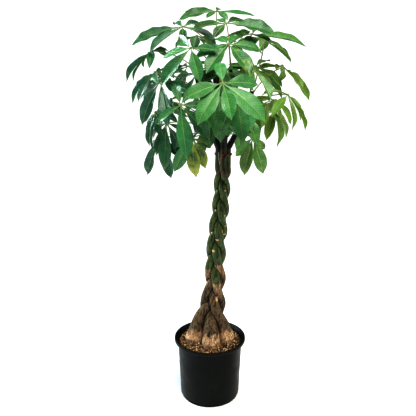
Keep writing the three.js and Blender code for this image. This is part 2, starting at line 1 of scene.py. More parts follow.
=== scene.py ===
# The looks of a potted money tree: leaves with veins, braided bark, mulch, pot and twine, on a pale floor.
# The plant is grown here by the same rules as its solids, in millimetres, and each mesh is made in metres.
import math
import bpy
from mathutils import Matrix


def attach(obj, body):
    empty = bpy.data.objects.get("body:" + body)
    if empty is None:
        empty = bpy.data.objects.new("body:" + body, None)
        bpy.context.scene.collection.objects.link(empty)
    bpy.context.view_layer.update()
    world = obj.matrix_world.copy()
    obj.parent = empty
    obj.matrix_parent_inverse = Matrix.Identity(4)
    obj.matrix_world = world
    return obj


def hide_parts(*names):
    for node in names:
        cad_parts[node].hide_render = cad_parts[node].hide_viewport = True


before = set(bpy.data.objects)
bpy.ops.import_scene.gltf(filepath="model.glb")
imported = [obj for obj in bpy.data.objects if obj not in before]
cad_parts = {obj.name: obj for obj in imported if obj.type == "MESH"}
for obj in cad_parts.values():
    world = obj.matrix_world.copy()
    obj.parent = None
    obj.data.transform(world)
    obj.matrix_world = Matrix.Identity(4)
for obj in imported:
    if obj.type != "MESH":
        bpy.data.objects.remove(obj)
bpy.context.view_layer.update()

from types import SimpleNamespace as Sizes

import bpy
import numpy as np
from mathutils import Matrix, Vector, noise

MM = 0.001

# ---- camera, floor and light ----
CAMERA = Sizes(lens=51.92, sensor=36, place=(-0.0070, -1.9904, 1.3163), pitch=73.47)


def add_object(name, data):
    made = bpy.data.objects.new(name, data)
    bpy.context.scene.collection.objects.link(made)
    return made


def add_mesh(name, points, faces):
    mesh = bpy.data.meshes.new(name)
    mesh.from_pydata(np.asarray(points).tolist(), [], faces)
    return add_object(name, mesh)


def add_camera():
    data = bpy.data.cameras.new("camera")
    data.lens = CAMERA.lens
    data.sensor_width = CAMERA.sensor
    camera = add_object("camera", data)
    camera.location = CAMERA.place
    camera.rotation_euler = (math.radians(CAMERA.pitch), 0, 0)
    bpy.context.scene.camera = camera


add_camera()

# ---- the plant's driving dimensions, in millimetres ----
POT = Sizes(
    height=234, rim_radius=130, lip_height=13, top_radius=117, base_radius=108, foot_radius=104,
    foot_height=7, rim_width=7, wall=3, floor=4, drain_holes=6, drain_radius=7, drain_circle=78,
)
SOIL = Sizes(level=219, crown=5, crown_radius=60, gap=0.4)

TRUNKS = 5
BULB_END = 168
PRESSED_GAP = 0.35
FLARE = Sizes(start=236, end=405, bend=1.45)
BRAID = Sizes(
    turn=-32, first_step=100, tighten=0.085, zero=430, straight_above=870, start_phase=105, ease=0.1,
    linger=0.1, across=([(1, 1), (3, -0.14), (5, -0.07)], 1.07), depth=([(2, 1), (4, -0.14)], 1.04),
)
SPREAD = Sizes(start=935, bend=0.35)
TIE_HEIGHT = 916
TRUNK_RADIUS = [
    (168, 22), (200, 30), (236, 33), (262, 29), (300, 23.5), (340, 19), (380, 16.5), (440, 15.3),
    (500, 15), (620, 14.8), (700, 13.5), (800, 12.4), (920, 11), (1020, 8), (1250, 5),
]
BRAID_HALF_WIDTH = [(380, 24), (440, 19.5), (580, 17.3), (660, 16), (720, 14.5), (850, 13.5), (935, 13.5)]
LEAN = [
    (235, 0), (330, 6), (420, 17), (500, 20), (560, 21), (640, 27), (700, 34), (770, 40), (850, 43),
    (935, 45),
]
BULBS = [(40, 50), (57, -10), (4, -49), (-34, 50), (-57, -12)]
TOPS = [(64, -74, 1205), (18, 60, 1255), (-52, -8, 1205), (12, -62, 1195), (138, -4, 1125)]

LEAFLET = Sizes(width=0.36, steps=20, droop_bend=1.3, twist=(0.4, 1.5), back_shorter=0.42, back_bend=1.2)
# Leaves out at the sides have leaflets that roll more and are narrower, by these shares at the full reach.
OUTER = Sizes(reach=210, roll=2.2, width=-0.26)
OUTLINE = Sizes(widest=1.45, point=1.5, foot=0.06)
PETIOLE = Sizes(lowest=985, below_top=4, spacing=11, slope=0.45, lift=20, arch=0.6, rise=12)

# Each row is [trunk, hub x, y, z, heading, tilt, cone, length, droop, leaflet angles, their lengths as
# shares if not even], as on the solids.
FRONT_LEAVES = [
    (3, 34, -280, 1174, -85, 50, 8, 138, 0.3, (-178, -72, -36, 18, 56, 104),
     (1.15, 1, 1.05, 0.85, 1.28, 1)),
    (3, -87, -240, 1107, -85, 58, 12, 150, 0.35, (-168, -62, 2, 50, 98, 150),
     (1, 0.65, 1.05, 0.95, 0.6, 0.9)),
    (3, 28, -205, 1125, -95, 60, 25, 135, 0.3, (-80, -38, 0, 42)),
    (0, 78, -196, 1135, -68, 55, 25, 140, 0.4, (-40, 0, 40, 84)),
    (0, 132, -140, 996, -90, 48, 40, 120, 0.25, (-54, -14, 24, 70), (0.8, 1, 1.05, 0.6)),
    (3, -56, -150, 996, -90, 46, 42, 122, 0.25, (-92, -44, 0, 42, 88), (0.8, 1.05, 1.05, 1, 0.8)),
    (4, 249, -50, 1118, -35, 42, 15, 128, 0.8, (-140, -75, -30, 12, 58)),
    (4, 145, 20, 1194, -5, 30, 8, 145, 0.7, (-115, -60, -18, 22, 66, 120)),
    (4, 215, -20, 1072, -45, 45, 32, 130, 0.55, (-100, -48, 0, 48, 100)),
    (1, 133, 0, 1304, -90, 24, 4, 170, 0.15, (-106, -20, 48, 86, 158), (0.65, 0.5, 0.5, 1.2, 0.6)),
    (0, 49, -50, 1337, -90, 26, 6, 150, 0.16, (-154, -92, -32, 92, 140), (0.7, 0.9, 0.5, 1.38, 0.9)),
    (0, 53, -140, 1276, -90, 34, 8, 135, 0.4, (-155, -78, -38, 36, 98, 150)),
    (1, 22, 80, 1376, -90, 22, 4, 125, 0.12, (-118, -84, -40, 40, 86, 165),
     (1.35, 1.2, 0.5, 0.5, 1.2, 0.6)),
    (1, -88, 0, 1327, -95, 26, 6, 160, 0.36, (-150, -74, -40, 10, 72, 142), (0.7, 1.2, 1, 0.5, 0.9, 0.7)),
    (1, -45, 90, 1298, 120, 8, 8, 105, 0.35, (-140, -75, -20, 30, 85)),
    (2, -188, 0, 1251, 185, 24, 8, 135, 0.75, (-120, -60, 0, 36, 82, 165), (1, 0.8, 1, 1, 0.9, 0.7)),
    (3, -58, -140, 1265, -115, 48, 8, 148, 0.4, (-130, -82, -32, 30, 88), (1, 0.8, 1.08, 0.85, 0.8)),
    (2, -176, -50, 1187, 200, 34, 8, 128, 0.7, (-120, -60, -15, 30, 85, 145)),
    (2, -154, -120, 1166, -125, 52, 16, 150, 0.6, (-150, -85, -28, 30, 95)),
    (2, -178, -50, 1063, 205, 46, 28, 128, 0.7, (-110, -62, -20, 20, 60, 110)),
    (2, -139, -84, 1033, -110, 50, 36, 148, 0.45, (-96, -50, -4, 44, 96)),
    (2, -171, -60, 975, -130, 50, 36, 142, 0.45, (-95, -32, 26, 86)),
]
# [count, first azimuth, azimuth step, radius, hub height, tilt, cone, length]
TIERS = [
    (2, 22, 52, 135, 1285, 20, 8, 138),
    (5, 22, 34, 215, 1180, 34, 12, 138),
    (4, 38, 36, 225, 1065, 42, 28, 135),
    (2, 66, 52, 140, 1010, 42, 38, 125),
    (3, -140, 50, 120, 1195, 36, 12, 120),
    (3, -112, 48, 134, 1090, 42, 30, 120),
]
TIER_FAN = (-132, -66, 0, 66, 132)
TIER_DROOP = 0.4
TIER_TRUNKS = [(-95, 3), (-45, 0), (50, 4), (125, 1), (math.inf, 2)]
TIER_UNEVEN = Sizes(azimuth=5, radius=0.06, height=18, tilt=5, length=0.06)
LEAFLET_UNEVEN = Sizes(fan=4, lift=4, roll=10, droop=0.4, length=0.06)
SEED = 20240611

BOWS = (0, 14, -14, 28, -28, 44, -44, 60, -60)
ARCHES = (0, 16, -16, 34)
LIFTS = (0, -8, 8, -16, 16, -26, 26, -36)
FANS = (0, 8, -8, 16, -16)
LENGTHS = (1, 0.86, 0.72)
PETIOLE_BALLS = Sizes(every=8, radius=4)
BLADE_BALLS = Sizes(every=8.5, radius=4.6, first=2, across=np.array([-0.9, -0.45, 0, 0.45, 0.9]))
TRUNK_BALLS = Sizes(start=850, every=7, margin=2, above=4)
NEAR = 40


# ---- small maths ----
def mix(a, b, t):
    return a + (b - a) * t


def profile(rows, z):
    heights, values = zip(*rows)
    return np.interp(z, heights, values)


CROWN_X = profile(LEAN, SPREAD.start)


def smooth(edge0, edge1, x):
    t = np.clip((x - edge0) / (edge1 - edge0), 0, 1)
    return t * t * (3 - 2 * t)


def unit(v):
    return v / np.linalg.norm(v, axis=-1, keepdims=True)


def draws(seed):
    """One repeatable stream of draws between -1 and 1, the same as the solids'."""
    state = seed
    while True:
        state = (state * 1664525 + 1013904223) % 2**32
        yield state / 2**31 - 1


def circle(count, shift=0.0):
    """Points in even steps on the unit circle, the first one turned by a share of a step."""
    angles = (np.arange(count) + shift) / count * 2 * math.pi
    return np.column_stack([np.cos(angles), np.sin(angles)])


def with_column(rows, values):
    """The rows with one more column, of a single value or of one a row."""
    return np.column_stack([rows, np.broadcast_to(values, len(rows))])


# ---- where the trunks run ----
def crossings(z):
    height = np.minimum(z, BRAID.straight_above) - BRAID.zero
    step = BRAID.first_step - BRAID.tighten * height
    return -np.log(step / BRAID.first_step) / BRAID.tighten


def swing(waves_and_peak, phase):
    waves, peak = waves_and_peak
    return sum(share * np.sin(multiple * phase) for multiple, share in waves) / peak


def braid_point(trunk, z):
    even = np.radians(360 / TRUNKS * (crossings(z) + trunk) + BRAID.start_phase)
    phase = even + BRAID.ease * np.sin(2 * even) - BRAID.linger * np.cos(2 * even)
    half_width = profile(BRAID_HALF_WIDTH, z)
    x = half_width * swing(BRAID.across, phase)
    y = half_width * swing(BRAID.depth, phase)
    turn = math.radians(BRAID.turn)
    return (
        profile(LEAN, z) + x * math.cos(turn) - y * math.sin(turn),
        x * math.sin(turn) + y * math.cos(turn),
    )


def trunk_centre(trunk, z):
    z = np.asarray(z, float)
    bx, by = braid_point(trunk, np.minimum(z, SPREAD.start))
    rise = np.clip((z - FLARE.start) / (FLARE.end - FLARE.start), 0, 1)
    flare = 1 - (1 - rise) ** FLARE.bend
    top = TOPS[trunk]
    away = np.maximum(0, (z - SPREAD.start) / (top[2] - SPREAD.start))
    part = away * (1 + SPREAD.bend * (1 - away))
    x = mix(mix(BULBS[trunk][0], bx, flare), top[0], part)
    y = mix(mix(BULBS[trunk][1], by, flare), top[1], part)
    return np.stack([x, y, z], -1)


# ---- where the leaves grow ----
def tier_rows():
    """The leaves behind and inside the crown, in rows like those of FRONT_LEAVES."""
    random = draws(SEED)
    for count, first, step, radius, height, tilt, cone, length in TIERS:
        for i in range(count):
            azimuth = first + step * i + TIER_UNEVEN.azimuth * next(random)
            out = radius * (1 + TIER_UNEVEN.radius * next(random))
            angle = math.radians(azimuth)
            x, y = CROWN_X + out * math.cos(angle), out * math.sin(angle)
            z = height + TIER_UNEVEN.height * next(random)
            trunk = next(trunk for below, trunk in TIER_TRUNKS if azimuth < below)
            lean = tilt + TIER_UNEVEN.tilt * next(random)
            size = length * (1 + TIER_UNEVEN.length * next(random))
            yield trunk, x, y, z, azimuth, lean, cone, size, TIER_DROOP, TIER_FAN


def all_leaves():
    leaves = []
    for trunk, x, y, z, heading, tilt, cone, length, droop, fan, *shares in [*FRONT_LEAVES, *tier_rows()]:
        leaves.append(Sizes(
            trunk=trunk, hub=np.array([x, y, z], float), heading=heading, tilt=tilt, cone=cone,
            length=length, droop=droop, fan=fan, shares=shares[0] if shares else [1] * len(fan),
        ))
    return leaves


def set_starts(leaves):
    tops = [top[2] - PETIOLE.below_top for top in TOPS]
    for leaf in sorted(leaves, key=lambda leaf: -leaf.hub[2]):
        reach = math.hypot(leaf.hub[0] - TOPS[leaf.trunk][0], leaf.hub[1] - TOPS[leaf.trunk][1])
        wanted = max(PETIOLE.lowest, leaf.hub[2] - PETIOLE.slope * reach + PETIOLE.lift)
        leaf.start = min(tops[leaf.trunk], wanted)
        tops[leaf.trunk] = leaf.start - PETIOLE.spacing


def petiole_corners(leaf, bow, arch):
    start = trunk_centre(leaf.trunk, leaf.start)
    out = unit(np.array([leaf.hub[0] - start[0], leaf.hub[1] - start[1], 0]))
    middle = (start + leaf.hub) / 2 + bow * np.array([-out[1], out[0], 0])
    middle[2] = mix(middle[2], max(start[2], leaf.hub[2]), PETIOLE.arch) + PETIOLE.rise + arch
    return start, middle, leaf.hub


def bezier(corners, t):
    a, b, c = corners
    t = np.asarray(t)[:, None]
    return (1 - t) ** 2 * a + 2 * (1 - t) * t * b + t**2 * c


def leaf_axes(leaf):
    h, t = math.radians(leaf.heading), math.radians(leaf.tilt)
    normal = np.array([math.sin(t) * math.cos(h), math.sin(t) * math.sin(h), math.cos(t)])
    forward = np.array([math.cos(t) * math.cos(h), math.cos(t) * math.sin(h), -math.sin(t)])
    return normal, forward, np.cross(normal, forward)


def outer_share(leaf):
    """How far out to the left or right a leaf is, from 0 to 1."""
    return min(1, abs(leaf.hub[0] - CROWN_X) / OUTER.reach)


def blade_line(leaf, blade, steps=LEAFLET.steps):
    """The rib's points, its direction, and the blade's cross and upward directions, from foot to tip."""
    normal, forward, side = leaf_axes(leaf)
    fan, cone = math.radians(blade.fan), math.radians(leaf.cone - blade.lift)
    start = (forward * math.cos(fan) + side * math.sin(fan)) * math.cos(cone) - normal * math.sin(cone)
    t = np.arange(steps + 1) / steps
    along = np.tile(start, (steps + 1, 1))
    along[:, 2] -= leaf.droop * blade.droop * t**LEAFLET.droop_bend
    along = unit(along)
    level = unit(np.cross(along, normal))
    twist = np.radians(blade.roll * mix(*LEAFLET.twist, t))[:, None]
    across = level * np.cos(twist) + np.cross(along, level) * np.sin(twist)
    moved = np.vstack([np.zeros(3), np.cumsum(along[:-1], 0)]) * blade.length / steps
    return Sizes(t=t, point=leaf.hub + moved, along=along, across=across, up=np.cross(across, along))


def blade_outline(t):
    bulge = np.maximum(np.sin(math.pi * t**OUTLINE.widest), 0)
    return bulge**OUTLINE.point + OUTLINE.foot * (1 - t)


# What is already in place, as balls: a new petiole or leaflet has to pass between those of others.
class Placed:
    def __init__(self):
        self.balls = np.zeros((0, 4))
        self.owners = np.zeros(0, int)

    def place(self, balls, owner):
        self.balls = np.vstack([self.balls, balls])
        self.owners = np.append(self.owners, np.full(len(balls), owner))

    def room(self, balls, owner):
        centre = balls[len(balls) // 2, :3]
        span = np.linalg.norm(balls[:, :3] - centre, axis=1).max()
        far = np.linalg.norm(self.balls[:, :3] - centre, axis=1)
        others = self.balls[(self.owners != owner) & (far <= span + NEAR)]
        if not len(others):
            return math.inf
        apart = np.linalg.norm(balls[:, None, :3] - others[None, :, :3], axis=2)
        return (apart - balls[:, None, 3] - others[None, :, 3]).min()

    def clearest(self, choices, balls_of, owner):
        """The first choice that is clear, or the roomiest one."""
        best = None
        for choice in choices:
            balls = balls_of(choice)
            gap = self.room(balls, owner)
            if best is None or gap > best.gap:
                best = Sizes(choice=choice, balls=balls, gap=gap)
            if gap >= 0:
                break
        return best


def petiole_balls(corners):
    fine = bezier(corners, np.linspace(0, 1, 201))
    count = math.ceil(np.linalg.norm(np.diff(fine, axis=0), axis=1).sum() / PETIOLE_BALLS.every)
    return with_column(bezier(corners, np.arange(1, count + 1) / count), PETIOLE_BALLS.radius)


def blade_balls(leaf, blade):
    line = blade_line(leaf, blade)
    width = LEAFLET.width * (1 + OUTER.width * outer_share(leaf))
    half = blade.length * width * blade_outline(line.t) / 2
    count = math.ceil(blade.length / BLADE_BALLS.every)
    at = np.floor(np.arange(BLADE_BALLS.first, count + 1) / count * LEAFLET.steps + 0.5).astype(int)
    reach = half[at, None, None] * BLADE_BALLS.across[None, :, None]
    points = line.point[at, None] + line.across[at, None] * reach
    return with_column(points.reshape(-1, 3), BLADE_BALLS.radius)


def grow_leaves():
    placed = Placed()
    for trunk in range(TRUNKS):
        end = TOPS[trunk][2] + TRUNK_BALLS.above + 0.001
        heights = np.arange(TRUNK_BALLS.start, end, TRUNK_BALLS.every)
        radius = profile(TRUNK_RADIUS, heights) + TRUNK_BALLS.margin
        placed.place(with_column(trunk_centre(trunk, heights), radius), trunk)
    leaves = all_leaves()
    set_starts(leaves)
    for index, leaf in enumerate(leaves):
        choices = [petiole_corners(leaf, bow, arch) for arch in ARCHES for bow in BOWS]
        best = placed.clearest(choices, petiole_balls, leaf.trunk)
        leaf.petiole = best.choice
        placed.place(best.balls, TRUNKS + index)
    random = draws(SEED + 1)
    for index, leaf in enumerate(leaves):
        leaf.blades = []
        for i, fan in enumerate(leaf.fan):
            back = LEAFLET.back_shorter * (abs(fan) / 180) ** LEAFLET.back_bend
            share = leaf.shares[i] * (1 - back)
            wish = dict(
                fan=fan + LEAFLET_UNEVEN.fan * next(random),
                lift=LEAFLET_UNEVEN.lift * next(random),
                roll=LEAFLET_UNEVEN.roll * (1 + OUTER.roll * outer_share(leaf)) * next(random),
                droop=1 + LEAFLET_UNEVEN.droop * next(random),
                length=leaf.length * share * (1 + LEAFLET_UNEVEN.length * next(random)),
            )
            choices = (
                Sizes(**{
                    **wish, "fan": wish["fan"] + turn, "lift": wish["lift"] + lift,
                    "length": wish["length"] * scale,
                })
                for scale in LENGTHS for turn in FANS for lift in LIFTS
            )
            best = placed.clearest(choices, lambda blade: blade_balls(leaf, blade), TRUNKS + index)
            if best.gap < 0:
                continue
            best.choice.number = i
            leaf.blades.append(best.choice)
            placed.place(best.balls, TRUNKS + index)
    return leaves


LEAVES = grow_leaves()


# ---- meshes ----
class Skins:
    """The closed skins of one piece, in millimetres, with their faces, materials and attributes."""

    def __init__(self):
        self.vertices, self.faces, self.face_materials, self.attributes = [], [], [], {}
        self.count = 0

    def add(self, vertices, faces, material=0, **attributes):
        vertices = np.asarray(vertices, float).reshape(-1, 3)
        self.vertices.append(vertices)
        self.faces += [[i + self.count for i in face] for face in faces]
        self.face_materials += [material] * len(faces) if np.isscalar(material) else list(material)
        for label, values in attributes.items():
            values = np.asarray(values, float)
            shape = (len(vertices), 3) if values.shape[-1:] == (3,) else len(vertices)
            self.attributes.setdefault(label, []).append(np.broadcast_to(values, shape))
        self.count += len(vertices)
        return self

    def piece(self, name, materials, slot, *nodes, sharp_angle=None):
        """The piece, which rides on the plant's one body."""
        piece = add_mesh(name, np.concatenate(self.vertices) * MM, self.faces)
        mesh = piece.data
        for material in materials:
            mesh.materials.append(material)
        mesh.polygons.foreach_set("material_index", np.array(self.face_materials, np.int32))
        for label, parts in self.attributes.items():
            values = np.concatenate(parts).astype(np.float32)
            kind, key = ("FLOAT_VECTOR", "vector") if values.ndim == 2 else ("FLOAT", "value")
            mesh.attributes.new(label, kind, "POINT").data.foreach_set(key, values.ravel())
        mesh.shade_smooth()
        if sharp_angle is not None:
            mesh.set_sharp_from_angle(angle=math.radians(sharp_angle))
        mesh.update()
        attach(piece, "root")
        if nodes:
            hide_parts(*nodes)
        return piece


def loft_faces(rows, count, caps=True):
    """Quads between rings of count points, each turning right-handed about the way from row to row."""
    faces = []
    for i in range(rows - 1):
        for j in range(count):
            a, b = i * count + j, i * count + (j + 1) % count
            faces.append((a, b, b + count, a + count))
    if caps:
        last = (rows - 1) * count
        faces.append(tuple(range(count - 1, -1, -1)))
        faces.append(tuple(range(last, last + count)))
    return faces


def tube_rings(points, radii, sides):
    """Rings round a path, carried along it without twist."""
    points = np.asarray(points, float)
    along = unit(np.gradient(points, axis=0))
    start = np.array([0, 0, 1]) if abs(along[0][2]) < 0.9 else np.array([1, 0, 0])
    first = unit(np.cross(along[0], start))
    ring = circle(sides)
    rings = []
    for point, direction, radius in zip(points, along, np.broadcast_to(radii, len(points))):
        first = unit(first - direction * np.dot(first, direction))
        rings.append(point + radius * ring @ [first, np.cross(direction, first)])
    return np.array(rings)


def path_length(path):
    """How far along a path each of its points is."""
    return np.append(0, np.cumsum(np.linalg.norm(np.diff(path, axis=0), axis=1)))


def along_path(path, at):
    """The points of a path at the given distances along it."""
    length = path_length(path)
    return np.column_stack([np.interp(at, length, column) for column in path.T])


def noise_at(points, scale, seed):
    """Smooth noise between about -1 and 1, with features of the given size in millimetres."""
    shift = Vector((seed * 17.3, seed * 5.1, seed * 9.7))
    size = np.broadcast_to(np.asarray(scale, float), 3)
    return np.array([noise.noise(Vector(p) + shift) for p in np.asarray(points) / size])


# ---- shader building ----
def linear(text):
    """A colour written as in a picture, #rrggbb, as linear values."""
    channels = [int(text[i:i + 2], 16) / 255 for i in (1, 3, 5)]
    return [c / 12.92 if c <= 0.04045 else ((c + 0.055) / 1.055) ** 2.4 for c in channels] + [1.0]


class Shader:
    """The node tree of a material, or of the world, built up by short calls."""

    def __init__(self, name, world=False):
        self.owner = (bpy.data.worlds if world else bpy.data.materials).new(name)
        self.output = "OutputWorld" if world else "OutputMaterial"
        self.owner.use_nodes = True
        self.tree = self.owner.node_tree
        self.tree.nodes.clear()

    def node(self, kind, inputs=None, **settings):
        node = self.tree.nodes.new("ShaderNode" + kind)
        for key, value in settings.items():
            setattr(node, key, value)
        for key, value in (inputs or {}).items():
            socket = node.inputs[key]
            if isinstance(value, bpy.types.NodeSocket):
                self.tree.links.new(value, socket)
            else:
                socket.default_value = linear(value) if isinstance(value, str) else value
        return node

    def attribute(self, name, vector=False):
        node = self.node("Attribute", attribute_name=name)
        return node.outputs["Vector" if vector else "Fac"]

    def split(self, vector):
        return self.node("SeparateXYZ", {0: vector}).outputs

    def math(self, operation, a, b=0.0, clamp=False):
        return self.node("Math", {0: a, 1: b}, operation=operation, use_clamp=clamp).outputs[0]

    def times(self, a, b, clamp=False):
        return self.math("MULTIPLY", a, b, clamp)

    def plus(self, a, b, clamp=False):
        return self.math("ADD", a, b, clamp)

    def mix(self, factor, a, b):
        return self.node("Mix", {0: factor, 6: a, 7: b}, data_type="RGBA").outputs[2]

    def ramp(self, value, low, high, to_low=0.0, to_high=1.0):
        """A smooth step from to_low to to_high as value goes from low to high."""
        inputs = {"Value": value, "From Min": low, "From Max": high, "To Min": to_low, "To Max": to_high}
        return self.node("MapRange", inputs, interpolation_type="SMOOTHSTEP").outputs[0]

    def tint(self, colour, other, value, low, high, most=1.0):
        """The colour, mixed with up to most of another one as value goes from low to high."""
        return self.mix(self.ramp(value, low, high, 0, most), colour, other)

    def noise(self, scale, detail=3.0, roughness=0.5, vector=None, stretch=(1, 1, 1)):
        vector = self.place(stretch) if vector is None else vector
        inputs = {"Vector": vector, "Scale": scale, "Detail": detail, "Roughness": roughness}
        return self.node("TexNoise", inputs).outputs[0]

    def place(self, stretch=(1, 1, 1)):
        """Where the surface is, in metres, with each axis scaled by stretch."""
        where = self.node("TexCoord").outputs["Object"]
        return self.node("Mapping", {"Vector": where, "Scale": stretch}).outputs[0]

    def bump(self, height, distance, strength=1.0):
        return self.node("Bump", {"Height": height, "Distance": distance, "Strength": strength}).outputs[0]

    def surface(self, colour, roughness, normal=None, **inputs):
        """A principled surface, with any further inputs by their names."""
        inputs = {key.replace("_", " "): value for key, value in inputs.items()}
        inputs |= {"Base Color": colour, "Roughness": roughness}
        if normal is not None:
            inputs["Normal"] = normal
        return self.node("BsdfPrincipled", inputs).outputs[0]

    def finish(self, surface):
        self.node(self.output, {"Surface": surface})
        return self.owner


# ---- materials ----
# Noise is given as scale, detail and roughness. Noise lies between about 0.25 and 0.75, and a tint's two
# numbers are where in that range it starts and is full.
POT_FOOT_PAINTED_SHADE = (0.007, 0.011)  # the heights in metres between which the pot's unlit foot ends
VEIN = Sizes(spacing=9.0, rise=0.75)  # in millimetres along the midrib, and how steeply veins run forward
# The cool and warm tints are the colours of painted cool light on the left of the crown and painted warm
# light on the right.
LEAF_TINTS = Sizes(
    net="#86ab58", vein="#93b866", cool="#17524c", warm="#8a9e2a", pale="#7f9a3c", yellow="#a5b04a",
    dry="#9a7a35", midrib="#a3c07c", through="#9cc43c",
)
LEAF_GLOW = 0.1


def pot_material():
    """Black polypropylene: satin, with faint flow marks, greyer scuffs on the lip, and a foot painted black
    as painted shade and made dull.
    """
    s = Shader("black_polypropylene")
    colour = s.tint("#010503", "#08120e", s.noise(9, 5, 0.6), 0.42, 0.72)
    colour = s.tint(colour, "#101513", s.noise(40, 3, 0.5, stretch=(1, 1, 0.05)), 0.5, 0.75, 0.3)
    scuff = s.times(s.attribute("scuff"), s.ramp(s.noise(160, 4, 0.6), 0.45, 0.62, 0, 0.6))
    # Painted shade: the foot is painted black below these heights, and its roughness is raised to full
    # there.
    foot = s.ramp(s.split(s.place())[2], *POT_FOOT_PAINTED_SHADE, 1, 0)
    colour = s.mix(foot, s.mix(scuff, colour, "#332d25"), "#000000")
    rough = s.plus(s.ramp(s.noise(25, 4), 0.3, 0.7, 0.38, 0.5), s.times(scuff, 0.2))
    rough = s.math("MAXIMUM", rough, foot)
    return s.finish(s.surface(colour, rough, s.bump(s.noise(900, 2), 0.0002, 0.5), Specular_IOR_Level=0.12))


def bark_material():
    """Green young stem above, brown cork below, tan peeling skin on the swollen bases, and leaf scars."""
    s = Shader("bark")
    green, tan, scar, shade = (s.attribute(name) for name in ("green", "tan", "scar", "shade"))
    fine = s.noise(420, 4, 0.65)
    streak = s.noise(160, 4, 0.6, stretch=(1, 1, 0.22))
    stem = s.tint("#131a0a", "#576b34", streak, 0.3, 0.7)
    stem = s.tint(stem, "#2a3716", s.noise(28, 3), 0.45, 0.7, 0.5)
    stem = s.tint(stem, "#66733a", fine, 0.55, 0.8, 0.4)
    cork = s.tint("#120c08", "#6f5b43", streak, 0.36, 0.64)
    cork = s.tint(cork, "#6b5a40", s.noise(22, 4), 0.45, 0.7, 0.5)
    cork = s.tint(cork, "#8c7a5a", s.noise(300, 3, 0.5), 0.56, 0.7, 0.5)
    cork = s.tint(cork, "#0d0905", fine, 0.56, 0.7, 0.6)
    skin = s.tint("#74543a", "#e6c49c", s.noise(230, 4, 0.65, stretch=(1, 1, 0.45)), 0.36, 0.6)
    skin = s.tint(skin, "#a9835a", s.noise(60, 4, 0.6), 0.4, 0.65, 0.6)
    skin = s.tint(skin, "#33200f", fine, 0.54, 0.68, 0.85)
    colour = s.tint(cork, stem, s.plus(green, s.times(fine, 0.4)), 0.55, 0.85)
    patchy = s.plus(tan, s.times(s.math("SUBTRACT", streak, 0.5), 0.7))
    colour = s.tint(colour, skin, patchy, 0.15, 0.85)
    colour = s.tint(colour, "#cda67e", scar, 0.25, 0.7, 0.9)
    colour = s.tint(colour, "#050402", shade, 0.0, 0.34, 0.97)
    relief = s.plus(streak, s.times(fine, 0.5))
    rough = s.ramp(green, 0, 1, 0.85, 0.5)
    return s.finish(s.surface(colour, rough, s.bump(relief, 0.0016, 0.7), Specular_IOR_Level=0.3))


def grain_material(name, dark, light, steps, scale, roughness, relief=None):
    """Two colours of one grain, which may also be raised by relief metres."""
    s = Shader(name)
    grain = s.noise(*scale)
    normal = None if relief is None else s.bump(grain, relief)
    return s.finish(s.surface(s.tint(dark, light, grain, *steps), roughness, normal))


def chip_material():
    """Bark chips, each of its own brown."""
    s = Shader("bark_chips")
    tone = s.attribute("tone")
    grain = s.noise(500, 5, 0.65)
    colour = s.tint("#22150a", "#a07a4a", tone, 0.1, 0.6)
    colour = s.tint(colour, "#dcb684", tone, 0.6, 1.0)
    colour = s.tint(colour, "#3a2212", grain, 0.4, 0.75, 0.55)
    return s.finish(s.surface(colour, 0.9, s.bump(grain, 0.001)))


def twine_material():
    """Reddish brown fibre with dark stretches."""
    s = Shader("twine")
    fibre = s.noise(900, 3, 0.6, stretch=(1, 1, 1.8))
    colour = s.tint("#4c2a1a", "#96654a", fibre, 0.3, 0.7)
    colour = s.tint(colour, "#1a120b", s.noise(70, 3), 0.5, 0.6, 0.85)
    return s.finish(s.surface(colour, 0.9, s.bump(fibre, 0.0008)))


